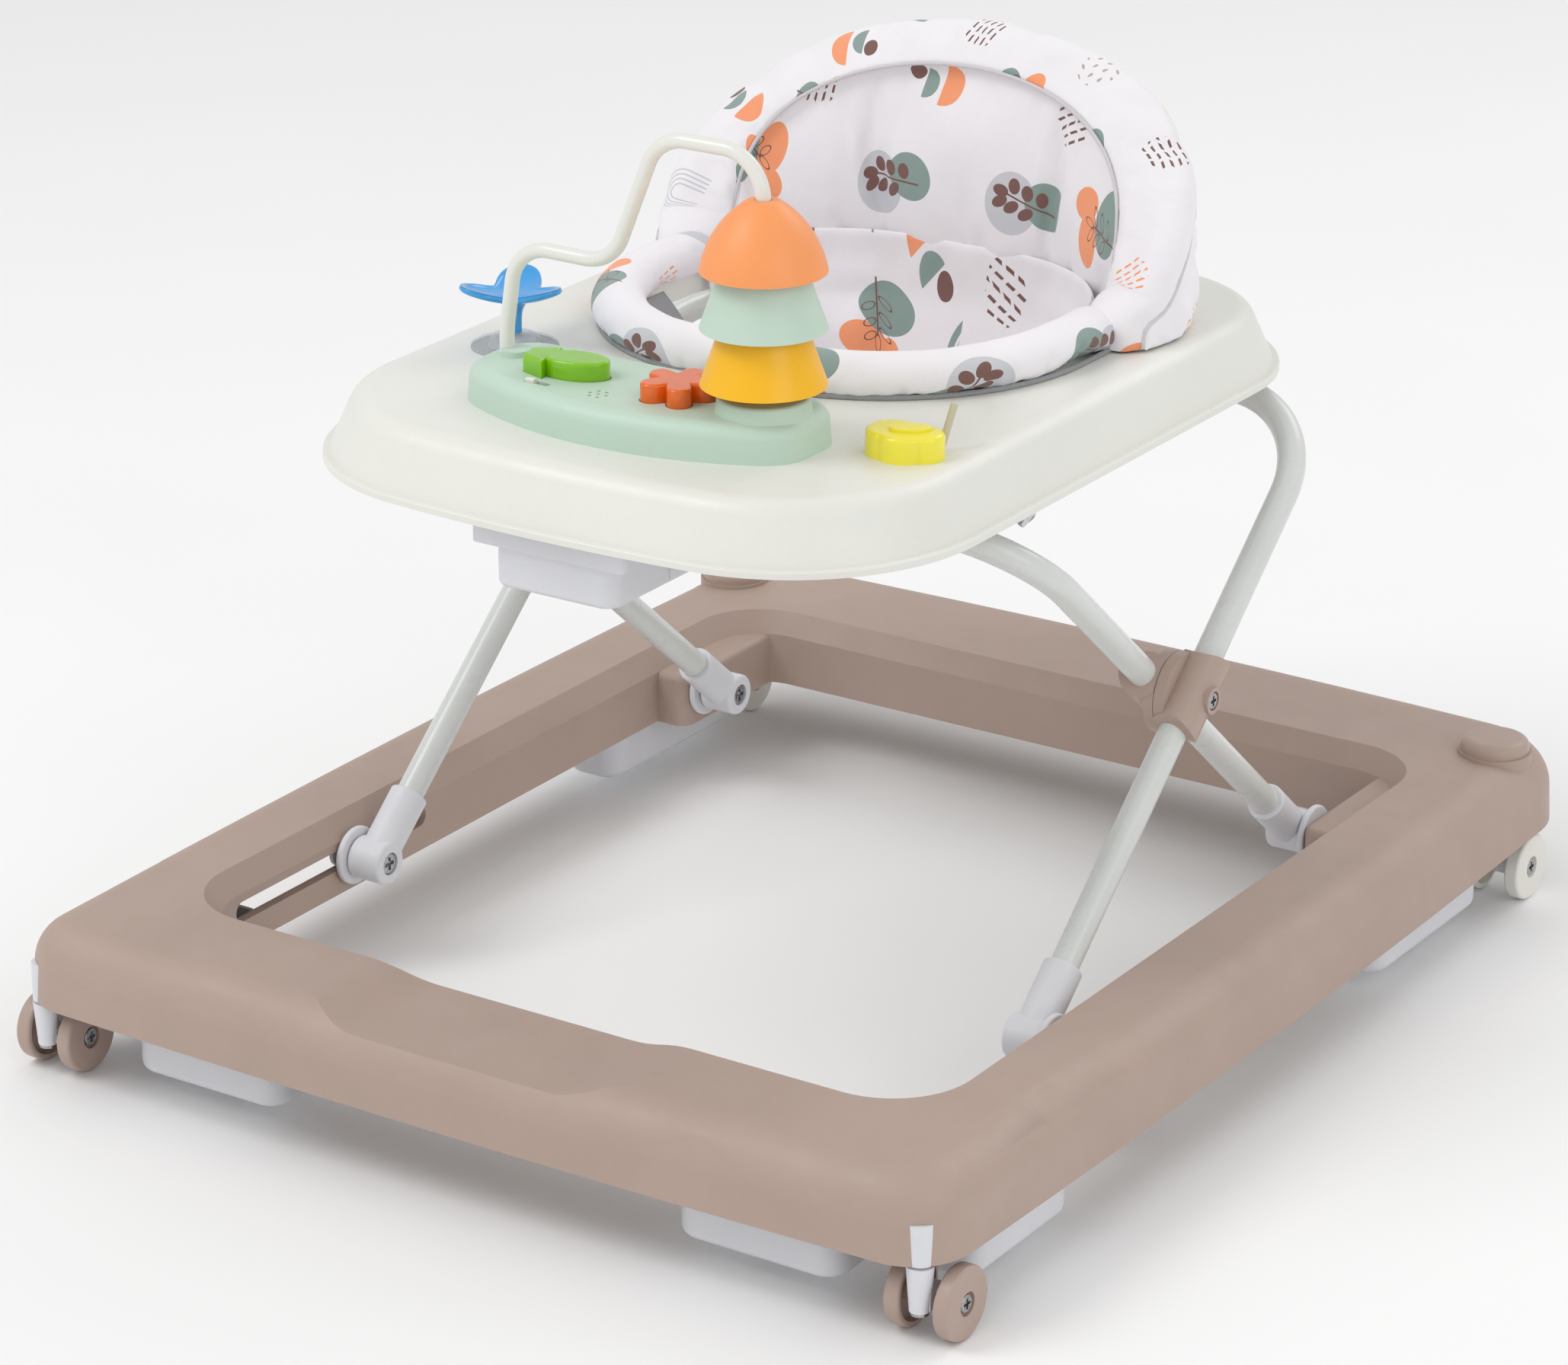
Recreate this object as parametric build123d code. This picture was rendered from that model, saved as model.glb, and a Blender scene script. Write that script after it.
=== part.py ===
from build123d import *
import os
from math import atan2, cos, degrees, hypot, pi, radians, sin

# Folding baby walker. Millimetres, +Z up, -Y is the front, origin on the floor under the middle.

# ---------------------------------------------------------------- base ring
BASE_WIDTH = 602.0
BASE_LENGTH = 735.0
SKIRT_Z = 44.0
BASE_TOP_Z = 89.0
BASE_WALL = 3.0
SIDE_BOW = 6.0
FRONT_BOW = 5.0
REAR_BOW = 9.0
FRONT_CORNER = 34.0
REAR_CORNER = 56.0
SKIRT_DRAFT = 3.0
SHOULDER_RADIUS = 25.0
SIDE_RAIL = 68.0
FRONT_RAIL = 86.0
REAR_RAIL = 106.0
OPENING_FRONT_CORNER = 38.0
OPENING_REAR_CORNER = 34.0
BAND_WIDTH = 13.0
BAND_DROP = 9.0
DIP_DEPTH = 8.0
DIP_HALF_WIDTH = 62.0
DIP_RUN = 42.0
RIB_PITCH = 92.0
BLOCK_LENGTH = 96.0
BLOCK_DROP = 13.0

# ---------------------------------------------------------------- folding frame
FOOT_Z = 65.0
REAR_FOOT_SETBACK = 76.0
FOOT_SPREAD = 326.0
CROSS_RISE = 140.0
UPPER_LEG = 191.0
TUBE_RADIUS = 8.0
TUBE_WALL = 1.2
TUBE_BEND = 60.0
TUBE_PITCH = 20.0
FOLD_ANGLE = 29.0
CAP_RADIUS = 11.0
CAP_LENGTH = 44.0
TUBE_END_GAP = 13.0
SHOE_RADIUS = 17.0
SHOE_THICKNESS = 4.0
SHOE_GAP = 1.5
SLOT_HEIGHT = 12.0
SLOT_FRONT_RUN = 9.0
SLOT_REAR_RUN = 70.0
PIN_RADIUS = 5.0
BOLT_RADIUS = 3.0
SADDLE_RADIUS = 13.5
SADDLE_LENGTH = 46.0
SADDLE_DISC_RADIUS = 23.0
SADDLE_DISC_THICKNESS = 6.0
TRACK_THICKNESS = 3.0
RETAINER_RADIUS = 9.0
RETAINER_THICKNESS = 2.5

# ---------------------------------------------------------------- wheels
WHEEL_RADIUS = 19.75
WHEEL_WIDTH = 9.0
WHEEL_OUTER = 18.8
CASTER_INSET_X = 21.0
CASTER_INSET_Y = 16.0
CASTER_TRAIL = 14.5
REAR_WHEEL_INSET_X = 28.0
REAR_WHEEL_INSET_Y = 60.0
AXLE_RADIUS = 2.5
KINGPIN_RADIUS = 3.5
KINGPIN_TOP_Z = 64.0
SOCKET_RADIUS = 7.0
YOKE_LOW_Z = 17.5
HUB_RADIUS = 6.5
CORNER_CAP_RADIUS = 20.0
CORNER_CAP_LEAD = 6.0
CORNER_BOSS_RISE = 2.0
CORNER_CAP_RISE = 10.0

# ---------------------------------------------------------------- stopper pads
PAD_FLOOR_GAP = 12.0
PAD_WIDTH = 40.0
PAD_LENGTH = 100.0
REAR_PAD_LENGTH = 130.0
PAD_CORNER = 14.0
PAD_EDGE_RADIUS = 6.0
PAD_WALL = 2.5
PAD_EDGE = 19.0
PAD_FRONT_INSET = 124.0
PAD_SIDE_SETBACK = 62.0
SCREW_RADIUS = 2.0
SCREW_HEAD = 4.2

# ---------------------------------------------------------------- tray
TRAY_HALF_WIDTH = 191.0
TRAY_FRONT_RUN = 156.0
TRAY_REAR_RUN = 60.0
TRAY_RIM_RISE = 13.5
TRAY_HEIGHT = 35.0
TRAY_WALL = 2.5
TRAY_DRAFT = 24.0
TRAY_FRONT_CORNER = 108.0
TRAY_REAR_CORNER = 95.0
TRAY_FRONT_BOW = 20.0
TRAY_EDGE_RADIUS = 12.0
RIM_LIP = 2.0
RIM_HEIGHT = 4.0
COLLAR_DEPTH = 14.0
BRACKET_X = 76.0
BRACKET_WIDTH = 30.0
BRACKET_DEPTH = 26.0
HOUSING_HALF_WIDTH = 38.0
HOUSING_DROP = 24.0
HOUSING_NOSE = 57.0
HOUSING_TAIL = 15.0
HOUSING_WALL = 2.5
LATCH_TRAVEL = 8.0
LATCH_HALF_WIDTH = 24.0
LATCH_THICKNESS = 3.0
SPRING_RADIUS = 3.2
SPRING_WIRE = 0.9
SPRING_LENGTH = 20.0
SPRING_START = 16.0

# ---------------------------------------------------------------- seat
HOLE_HALF_WIDTH = 130.0
HOLE_FRONT_RUN = 257.0
HOLE_REAR_RUN = 22.0
HOLE_FRONT_CORNER = 112.0
HOLE_REAR_CORNER = 100.0
ROLL_OVERLAP = 15.0
ROLL_WIDTH = 34.0
ROLL_HEIGHT = 22.0
SLING_DEPTH = 112.0
SLING_CLOTH = 3.0
LEG_HOLE_RADIUS = 40.0
LEG_HOLE_X = 58.0
BACK_RUN = 57.5
BACK_FRONT_CUT = 28.0
BACK_HALF_WIDTH = 144.0
BACK_DEPTH = 75.0
BACK_ROLL = 40.0
BACK_RISE = 116.0

# ---------------------------------------------------------------- toys
CONSOLE_HALF_LENGTH = 104.0
CONSOLE_DEPTH = 86.0
CONSOLE_HEIGHT = 20.0
CONSOLE_WALL = 2.2
CELL_RADIUS = 5.2
CELL_LENGTH = 44.0
CONE_RADIUS = 33.0
CONE_TOP_RADIUS = 20.0
CONE_HEIGHT = 37.0
CONE_PITCH = 30.0
WIRE_RADIUS = 4.0
BUTTON_TRAVEL = 3.0
BUTTON_RISE = 10.0
KEY_DEPTH = 8.0
CONSOLE_SETBACK = 72.4
CONSOLE_FRONT_BOW = 30.0
CONE_X = 75.0
CONE_SHIFT_Y = 6.0
WIRE_X = -91.0
WIRE_SHIFT_Y = 12.0
WIRE_TOP_RISE = 154.0
WIRE_STEP_RISE = 80.0
CONE_FIRST_RISE = 34.0
HUB_LIFT = 8.0
CONE_WALL = 2.0
DOME_TOP_RADIUS = 8.0
DOME_BULGE = 4.0
COLLAR_RADIUS = 26.0
COLLAR_RISE = 8.0
FISH_X = -42.0
STAR_X = 27.0
STAR_SHIFT_Y = -1.0
STAR_ARM_WIDTH = 13.0
STAR_ARM_REACH = 20.5
SPEAKER_X = -10.0
SPEAKER_SHIFT_Y = -20.0
SWITCH_X = -47.0
SWITCH_SHIFT_Y = -22.0
SPINNER_X = -131.0
SPINNER_SHIFT_Y = 73.0
SPINNER_REACH = 30.0
SPINNER_WAIST = 15.0
SPINNER_PIN = 3.0
SPINNER_RISE = 26.0
FRUIT_X = 143.0
FRUIT_SHIFT_Y = 33.0
FRUIT_HEIGHT = 14.0
PEG_RADIUS = 4.0

# ---------------------------------------------------------------- fits
RUN_FIT = 0.05
BODY_GAP = 0.4
SLIDE_GAP = 0.5
SEAT_FIT = 0.05

# ---------------------------------------------------------------- worked-out places
RIB_FOOT_Z = SKIRT_Z + 6
BASE_FRONT_Y = -BASE_LENGTH / 2
BASE_REAR_Y = BASE_LENGTH / 2
OPENING_HALF_WIDTH = BASE_WIDTH / 2 - SIDE_RAIL
OPENING_FRONT_Y = BASE_FRONT_Y + FRONT_RAIL
OPENING_REAR_Y = BASE_REAR_Y - REAR_RAIL
FRONT_LEG_X = OPENING_HALF_WIDTH - SHOE_GAP - SHOE_THICKNESS - BODY_GAP - CAP_RADIUS
REAR_LEG_X = FRONT_LEG_X - TUBE_PITCH
REAR_FOOT_Y = OPENING_REAR_Y - REAR_FOOT_SETBACK
FRONT_FOOT_Y = REAR_FOOT_Y - FOOT_SPREAD
CROSS_Y = (REAR_FOOT_Y + FRONT_FOOT_Y) / 2
CROSS_Z = FOOT_Z + CROSS_RISE
LEG_ANGLE = atan2(CROSS_RISE, FOOT_SPREAD / 2)
LOWER_LEG = hypot(CROSS_RISE, FOOT_SPREAD / 2)
BAR_REACH = UPPER_LEG * cos(LEG_ANGLE)
BAR_Z = CROSS_Z + UPPER_LEG * sin(LEG_ANGLE)
REAR_BAR_Y = CROSS_Y + BAR_REACH
FRONT_BAR_Y = CROSS_Y - BAR_REACH
FOLDED_ANGLE = LEG_ANGLE - radians(FOLD_ANGLE)
FRONT_FOOT_TRAVEL = 2 * LOWER_LEG * (cos(FOLDED_ANGLE) - cos(LEG_ANGLE))
BAR_TRAVEL = 2 * UPPER_LEG * (cos(FOLDED_ANGLE) - cos(LEG_ANGLE))
CASTER_X = BASE_WIDTH / 2 - CASTER_INSET_X
CASTER_Y = BASE_FRONT_Y + CASTER_INSET_Y
REAR_WHEEL_X = BASE_WIDTH / 2 - REAR_WHEEL_INSET_X
REAR_WHEEL_Y = BASE_REAR_Y - REAR_WHEEL_INSET_Y
TRAY_RIM_Z = BAR_Z + TRAY_RIM_RISE
TRAY_TOP_Z = TRAY_RIM_Z + TRAY_HEIGHT
TRAY_FRONT_Y = FRONT_BAR_Y - TRAY_FRONT_RUN + TRAY_FRONT_BOW
TRAY_REAR_Y = REAR_BAR_Y + TRAY_REAR_RUN
HOLE_REAR_Y = REAR_BAR_Y - HOLE_REAR_RUN
HOLE_FRONT_Y = REAR_BAR_Y - HOLE_FRONT_RUN
BACK_MID_Y = HOLE_REAR_Y - BACK_RUN
CONSOLE_Y = TRAY_FRONT_Y + CONSOLE_SETBACK
CONSOLE_TOP_Z = TRAY_TOP_Z + CONSOLE_HEIGHT
CONE_Y = CONSOLE_Y + CONE_SHIFT_Y
WIRE_Y = CONSOLE_Y + WIRE_SHIFT_Y
STAR_Y = CONSOLE_Y + STAR_SHIFT_Y
SPEAKER_Y = CONSOLE_Y + SPEAKER_SHIFT_Y
SWITCH_Y = CONSOLE_Y + SWITCH_SHIFT_Y
SPINNER_Y = CONSOLE_Y + SPINNER_SHIFT_Y
FRUIT_Y = CONSOLE_Y + FRUIT_SHIFT_Y


# ================================================================ helpers
def outline(half_width, front_y, rear_y, front_r, rear_r, side_bow=0.0, front_bow=0.0, rear_bow=0.0):
    """Rounded four-sided face. The sides bow out past the corner points by the given amounts."""
    mid_y = (front_y + rear_y) / 2
    corners = [(-half_width, front_y), (half_width, front_y), (half_width, rear_y), (-half_width, rear_y)]
    bulges = [(0, front_y - front_bow), (half_width + side_bow, mid_y)]
    bulges += [(0, rear_y + rear_bow), (-half_width - side_bow, mid_y)]
    bows = [front_bow, side_bow, rear_bow, side_bow]
    edges = []
    for i in range(4):
        start, end = corners[i], corners[(i + 1) % 4]
        edges.append(ThreePointArc(start, bulges[i], end) if bows[i] else Line(start, end))
    face = make_face(edges)
    face = fillet([v for v in face.vertices() if v.Y < mid_y], front_r)
    rear = [v for v in face.vertices() if v.Y > mid_y and abs(abs(v.X) - half_width) < 1e-6]
    return fillet([v for v in rear if abs(v.Y - rear_y) < 1e-6], rear_r)


def block(x0, x1, y0, y1, z0, z1):
    """Box between two corners."""
    low = Vector(min(x0, x1), min(y0, y1), min(z0, z1))
    size = (abs(x1 - x0), abs(y1 - y0), abs(z1 - z0))
    return Pos(low) * Box(*size, align=(Align.MIN, Align.MIN, Align.MIN))


def rod_x(x0, x1, y, z, radius):
    """Cylinder along X."""
    low = min(x0, x1)
    turn = Pos(low, y, z) * Rot(0, 90, 0)
    return turn * Cylinder(radius, abs(x1 - x0), align=(Align.CENTER, Align.CENTER, Align.MIN))


def rod_z(x, y, z0, z1, radius, top_radius=None):
    """Cylinder along Z, or a cone when the top radius differs."""
    height = abs(z1 - z0)
    align = (Align.CENTER, Align.CENTER, Align.MIN)
    if top_radius is None or top_radius == radius:
        return Pos(x, y, min(z0, z1)) * Cylinder(radius, height, align=align)
    return Pos(x, y, min(z0, z1)) * Cone(radius, top_radius, height, align=align)


def capsule_x(x0, x1, y0, y1, z, height):
    """Slot-shaped block along Y with round ends, cut through in X."""
    r = height / 2
    body = block(x0, x1, y0 + r, y1 - r, z - r, z + r)
    return body + rod_x(x0, x1, y0 + r, z, r) + rod_x(x0, x1, y1 - r, z, r)


def cross_recess(radius):
    """Cross-shaped driver recess, centred on the origin and pointing up."""
    depth = radius * 0.5
    arm = radius * 0.36
    bar = Box(2 * radius * 0.62, arm, 2 * depth)
    return bar + Rot(0, 0, 90) * bar


def screw(head_radius, head_height, shank_radius, shank_length):
    """Pan-head screw along +Z with the head's underside at z = 0."""
    align = (Align.CENTER, Align.CENTER, Align.MIN)
    head = Cylinder(head_radius, head_height, align=align)
    head = fillet(head.edges().group_by(Axis.Z)[-1], head_height * 0.45)
    shank = Pos(0, 0, -shank_length) * Cylinder(shank_radius, shank_length, align=align)
    return head + shank - Pos(0, 0, head_height) * cross_recess(head_radius)


def facing_x(side):
    """Turns a piece that points up so that it points along +X or -X."""
    return Rot(0, 90 * side, 0)


def coil_spring(radius, wire, height, turns):
    """Open coil along Z that starts at z = 0."""
    path = Helix(pitch=height / turns, height=height, radius=radius)
    start = Plane(origin=path @ 0, z_dir=path % 0)
    return sweep(start * Circle(wire / 2), path=path)


# ================================================================ base ring
def base_outline(inset):
    return outline(
        BASE_WIDTH / 2 - SIDE_BOW - inset, BASE_FRONT_Y + FRONT_BOW + inset,
        BASE_REAR_Y - REAR_BOW - inset, FRONT_CORNER - inset, REAR_CORNER - inset,
        SIDE_BOW, FRONT_BOW, REAR_BOW)


def opening_outline(outset):
    return outline(
        OPENING_HALF_WIDTH + outset, OPENING_FRONT_Y - outset, OPENING_REAR_Y + outset,
        OPENING_FRONT_CORNER + outset, OPENING_REAR_CORNER + outset)


def ring_block(inset):
    """Solid ring with a rounded outer shoulder and a sloping inner band, inset on every face."""
    height = BASE_TOP_Z - SKIRT_Z - inset
    outer = extrude(Pos(0, 0, SKIRT_Z) * base_outline(inset), height, taper=SKIRT_DRAFT)
    outer = fillet(outer.edges().group_by(Axis.Z)[-1], SHOULDER_RADIUS - inset)
    ring = outer - extrude(Pos(0, 0, SKIRT_Z - 1) * opening_outline(inset), height + 2)
    top = ring.faces().sort_by(Axis.Z)[-1]
    rim = top.inner_wires()[0].edges()
    ring = chamfer(rim, BAND_DROP, BAND_WIDTH, reference=top)
    return ring - front_dip(inset)


def front_dip(inset):
    """Shallow saddle across the middle of the front rail."""
    top = BASE_TOP_Z - inset
    low = top - DIP_DEPTH
    edge = DIP_HALF_WIDTH + DIP_RUN
    left = Spline([(-edge, top), (-DIP_HALF_WIDTH, low)], tangents=[(1, 0), (1, 0)])
    right = Spline([(DIP_HALF_WIDTH, low), (edge, top)], tangents=[(1, 0), (1, 0)])
    floor = Line((-DIP_HALF_WIDTH, low), (DIP_HALF_WIDTH, low))
    lid = Polyline((edge, top), (edge, top + 9), (-edge, top + 9), (-edge, top))
    profile = Plane.XZ * make_face([left, floor, right, lid])
    reach = FRONT_RAIL + 10
    return Pos(0, BASE_FRONT_Y - 5 + reach, 0) * extrude(profile, reach)


def block_inner_x():
    """Inner face of the corner blocks that carry the rear feet."""
    return REAR_LEG_X + CAP_RADIUS + SHOE_THICKNESS + 2 * BODY_GAP


def ring_ribs():
    """Cross ribs inside the rails, clear of the shoe tracks."""
    top = BASE_TOP_Z
    thick = BASE_WALL * 0.8
    ribs = []
    for i in range(-2, 3):
        x = i * RIB_PITCH
        ribs.append(block(x - thick / 2, x + thick / 2, BASE_FRONT_Y, OPENING_FRONT_Y, RIB_FOOT_Z, top))
        ribs.append(block(x - thick / 2, x + thick / 2, OPENING_REAR_Y, BASE_REAR_Y, RIB_FOOT_Z, top))
    start = FRONT_FOOT_Y + SLOT_REAR_RUN + RIB_PITCH / 3
    count = int((OPENING_REAR_Y - BLOCK_LENGTH - start) / RIB_PITCH) + 1
    for i in range(count):
        y = start + i * RIB_PITCH
        for side in (-1, 1):
            inner = side * OPENING_HALF_WIDTH
            outer = side * BASE_WIDTH / 2
            ribs.append(block(inner, outer, y - thick / 2, y + thick / 2, RIB_FOOT_Z, top))
    return ribs


def corner_block(side):
    """Solid block in the rear inner corner, a step in from the side rail."""
    inner = side * block_inner_x()
    outer = side * (OPENING_HALF_WIDTH + BASE_WALL)
    rear = OPENING_REAR_Y + BASE_WALL
    solid = block(inner, outer, OPENING_REAR_Y - BLOCK_LENGTH, rear, SKIRT_Z, BASE_TOP_Z - BLOCK_DROP)
    edge = solid.edges().filter_by(Axis.Z).sort_by(Axis.Y)[:2].sort_by(Axis.X)[0 if side > 0 else -1]
    solid = fillet(edge, 9)
    inner_top = solid.edges().group_by(Axis.Z)[-1].filter_by(Axis.Y)
    return fillet(inner_top.sort_by(Axis.X)[0 if side > 0 else -1], 4)


def slot_front():
    return FRONT_FOOT_Y - FRONT_FOOT_TRAVEL - SLOT_FRONT_RUN


def slot_rear():
    return FRONT_FOOT_Y + SLOT_REAR_RUN


def base_ring():
    hollow = ring_block(BASE_WALL)
    hollow = Pos(0, 0, -BASE_WALL) * hollow + hollow
    for rib in ring_ribs() + screw_posts() + socket_ribs():
        hollow -= rib
    ring = ring_block(0)
    for side in (-1, 1):
        ring += corner_boss(side)
    ring -= hollow
    for side in (-1, 1):
        x, y = side * (REAR_WHEEL_X - CORNER_CAP_LEAD), REAR_WHEEL_Y - CORNER_CAP_LEAD
        ring -= rod_z(x, y, BASE_TOP_Z - 1.2, BASE_TOP_Z + CORNER_BOSS_RISE + 1, 5 + SEAT_FIT)
    for x, y in socket_places():
        ring -= rod_z(x, y, SKIRT_Z - 1, KINGPIN_TOP_Z + 2, SOCKET_RADIUS + SEAT_FIT)
    for _, (x, y), _, _ in pad_places():
        ring -= rod_z(x, y, RIB_FOOT_Z - 1, RIB_FOOT_Z + 12, SCREW_RADIUS + SEAT_FIT)
    for side in (-1, 1):
        ring += corner_block(side)
        inner = side * (OPENING_HALF_WIDTH - 4)
        outer = side * (OPENING_HALF_WIDTH + BASE_WALL + 1)
        ring -= capsule_x(inner, outer, slot_front(), slot_rear(), FOOT_Z, SLOT_HEIGHT)
        pin = side * (block_inner_x() + 14)
        ring -= rod_x(side * (block_inner_x() - 1), pin, REAR_FOOT_Y, FOOT_Z, BOLT_RADIUS - 0.5)
    return ring


def slide_track(side):
    """Plate behind the side rail's inner wall, with lips that guide the shoe's retaining disc."""
    inner = OPENING_HALF_WIDTH + BASE_WALL
    outer = inner + TRACK_THICKNESS
    lip = outer + RETAINER_THICKNESS + 2 * BODY_GAP
    half = RETAINER_RADIUS + BODY_GAP
    front, rear = slot_front() - 10, slot_rear() + 12
    plate = block(side * inner, side * outer, front, rear, FOOT_Z - half - 2, FOOT_Z + half + 2)
    plate += block(side * inner, side * lip, front, rear, FOOT_Z - half - 2, FOOT_Z - half)
    plate += block(side * inner, side * lip, front, rear, FOOT_Z + half, FOOT_Z + half + 2)
    plate &= ring_block(BASE_WALL + SEAT_FIT)
    x0, x1 = side * (inner - 1), side * (outer + 1)
    return plate - capsule_x(x0, x1, slot_front(), slot_rear(), FOOT_Z, SLOT_HEIGHT)


def corner_cap(side):
    """Low domed plug on a rear corner."""
    x, y = side * (REAR_WHEEL_X - CORNER_CAP_LEAD), REAR_WHEEL_Y - CORNER_CAP_LEAD
    cap = rod_z(x, y, BASE_TOP_Z + CORNER_BOSS_RISE, BASE_TOP_Z + CORNER_CAP_RISE, CORNER_CAP_RADIUS)
    cap = fillet(cap.edges().group_by(Axis.Z)[-1], (CORNER_CAP_RISE - CORNER_BOSS_RISE) * 0.7)
    return cap + rod_z(x, y, BASE_TOP_Z - 1, BASE_TOP_Z + CORNER_BOSS_RISE, 5)


def corner_boss(side):
    """Round seat for the corner cap, part of the base ring."""
    x, y = side * (REAR_WHEEL_X - CORNER_CAP_LEAD), REAR_WHEEL_Y - CORNER_CAP_LEAD
    return rod_z(x, y, BASE_TOP_Z - 9, BASE_TOP_Z + CORNER_BOSS_RISE, CORNER_CAP_RADIUS + 1.5)


# ================================================================ stopper pads
def pad_places():
    """Node, middle, size along X and size along Y of each stopper pad."""
    front_y = (BASE_FRONT_Y + OPENING_FRONT_Y) / 2
    side_x = BASE_WIDTH / 2 - PAD_EDGE - PAD_WIDTH / 2
    front_x = BASE_WIDTH / 2 - PAD_FRONT_INSET
    near_y = BASE_FRONT_Y + PAD_SIDE_SETBACK + PAD_LENGTH / 2
    far_y = OPENING_REAR_Y - REAR_PAD_LENGTH / 2
    places = []
    for side in (1, -1):
        places.append(("front_pads", (side * front_x, front_y), PAD_LENGTH, PAD_WIDTH))
        places.append(("side_front_pads", (side * side_x, near_y), PAD_WIDTH, PAD_LENGTH))
        places.append(("side_rear_pads", (side * side_x, far_y), PAD_WIDTH, REAR_PAD_LENGTH))
    return places


def stopper_pad(middle, size_x, size_y):
    """Hollow foot that catches the floor when a wheel drops over a step."""
    x, y = middle
    flat = RectangleRounded(size_x, size_y, PAD_CORNER)
    body = extrude(Pos(x, y, PAD_FLOOR_GAP) * flat, RIB_FOOT_Z - PAD_FLOOR_GAP)
    body = fillet(body.edges().group_by(Axis.Z)[0], PAD_EDGE_RADIUS)
    inner = RectangleRounded(size_x - 2 * PAD_WALL, size_y - 2 * PAD_WALL, PAD_CORNER - PAD_WALL)
    hollow = extrude(Pos(x, y, PAD_FLOOR_GAP + PAD_WALL) * inner, RIB_FOOT_Z)
    column = rod_z(x, y, PAD_FLOOR_GAP + PAD_WALL, RIB_FOOT_Z, 8)
    pad = body - hollow + column
    pad -= rod_z(x, y, PAD_FLOOR_GAP - 1, RIB_FOOT_Z + 1, SCREW_RADIUS + 0.2)
    return pad - rod_z(x, y, PAD_FLOOR_GAP - 1, RIB_FOOT_Z - 6, SCREW_HEAD + 0.4)


def pad_screws():
    """One long-reach screw up through the middle of each pad."""
    shape = Rot(180, 0, 0) * screw(SCREW_HEAD, 2.4, SCREW_RADIUS, 16)
    return [Pos(mid[0], mid[1], RIB_FOOT_Z - 6) * shape for _, mid, _, _ in pad_places()]


def screw_posts():
    """Posts inside the ring that the pad screws drive into."""
    return [rod_z(mid[0], mid[1], RIB_FOOT_Z, BASE_TOP_Z, 7) for _, mid, _, _ in pad_places()]


# ================================================================ wheels
def wheel(side, x, y):
    """One moulded wheel of a twin pair, outer face towards the given side."""
    outer, inner = x + side * WHEEL_OUTER, x + side * (WHEEL_OUTER - WHEEL_WIDTH)
    z = WHEEL_RADIUS
    disc = rod_x(inner, outer, y, z, WHEEL_RADIUS)
    disc = fillet(disc.edges().filter_by(GeomType.CIRCLE), 1.8)
    hub = WHEEL_OUTER - WHEEL_WIDTH - 3
    disc -= rod_x(x + side * hub, inner + side * (WHEEL_WIDTH - 3.5), y, z, WHEEL_RADIUS - 3)
    disc += rod_x(x + side * hub, outer - side * 3, y, z, HUB_RADIUS)
    disc -= rod_x(outer - side * 2.2, outer + side, y, z, HUB_RADIUS)
    return disc - rod_x(x + side * (hub - 1), outer + side, y, z, AXLE_RADIUS + SEAT_FIT)


def wheel_pair(x, y):
    return [wheel(1, x, y), wheel(-1, x, y)]


def axle(x, y):
    """Steel axle with a screw head in each wheel's recess."""
    reach = WHEEL_OUTER - 2.2 + SEAT_FIT
    bar = rod_x(x - reach, x + reach, y, WHEEL_RADIUS, AXLE_RADIUS)
    for side in (-1, 1):
        head = screw(HUB_RADIUS - 1.6, 1.8, AXLE_RADIUS - 0.6, 1)
        bar += Pos(x + side * reach, y, WHEEL_RADIUS) * facing_x(side) * head
    return bar


def yoke(x, y, trail):
    """White moulded stem with an arm back to the axle; the kingpin runs up its middle."""
    top = SKIRT_Z - 1.5
    stem = rod_z(x, y, YOKE_LOW_Z, top, 5.4, 7.2)
    arm_half = WHEEL_OUTER - WHEEL_WIDTH - 3.6
    hub = rod_x(x - arm_half, x + arm_half, y + trail, WHEEL_RADIUS, 7.5)
    arm = stem + hub
    if trail > 0:
        arm += block(x - arm_half, x + arm_half, y, y + trail, YOKE_LOW_Z + 1, WHEEL_RADIUS + 7.5)
    arm -= rod_x(x - arm_half - 1, x + arm_half + 1, y + trail, WHEEL_RADIUS, AXLE_RADIUS + RUN_FIT)
    low = YOKE_LOW_Z - 1 if trail > 0 else WHEEL_RADIUS + AXLE_RADIUS + 3
    return arm - rod_z(x, y, low, top + 1, KINGPIN_RADIUS + SEAT_FIT)


def kingpin(x, y, trail):
    """Steel pin from the yoke up into the socket, with a ring at its lower end where it is exposed."""
    if trail > 0:
        pin = rod_z(x, y, YOKE_LOW_Z, KINGPIN_TOP_Z, KINGPIN_RADIUS)
        return pin + rod_z(x, y, YOKE_LOW_Z - 1.8, YOKE_LOW_Z, KINGPIN_RADIUS + 1.4)
    return rod_z(x, y, WHEEL_RADIUS + AXLE_RADIUS + 3, KINGPIN_TOP_Z, KINGPIN_RADIUS)


def socket(x, y, bore_radius):
    """Bush in the base ring that takes a kingpin."""
    bush = rod_z(x, y, SKIRT_Z, KINGPIN_TOP_Z + 2, SOCKET_RADIUS)
    return bush - rod_z(x, y, SKIRT_Z - 1, KINGPIN_TOP_Z + 0.5, bore_radius)


def socket_places():
    fronts = [(side * CASTER_X, CASTER_Y) for side in (1, -1)]
    return fronts + [(side * REAR_WHEEL_X, REAR_WHEEL_Y) for side in (1, -1)]


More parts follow.
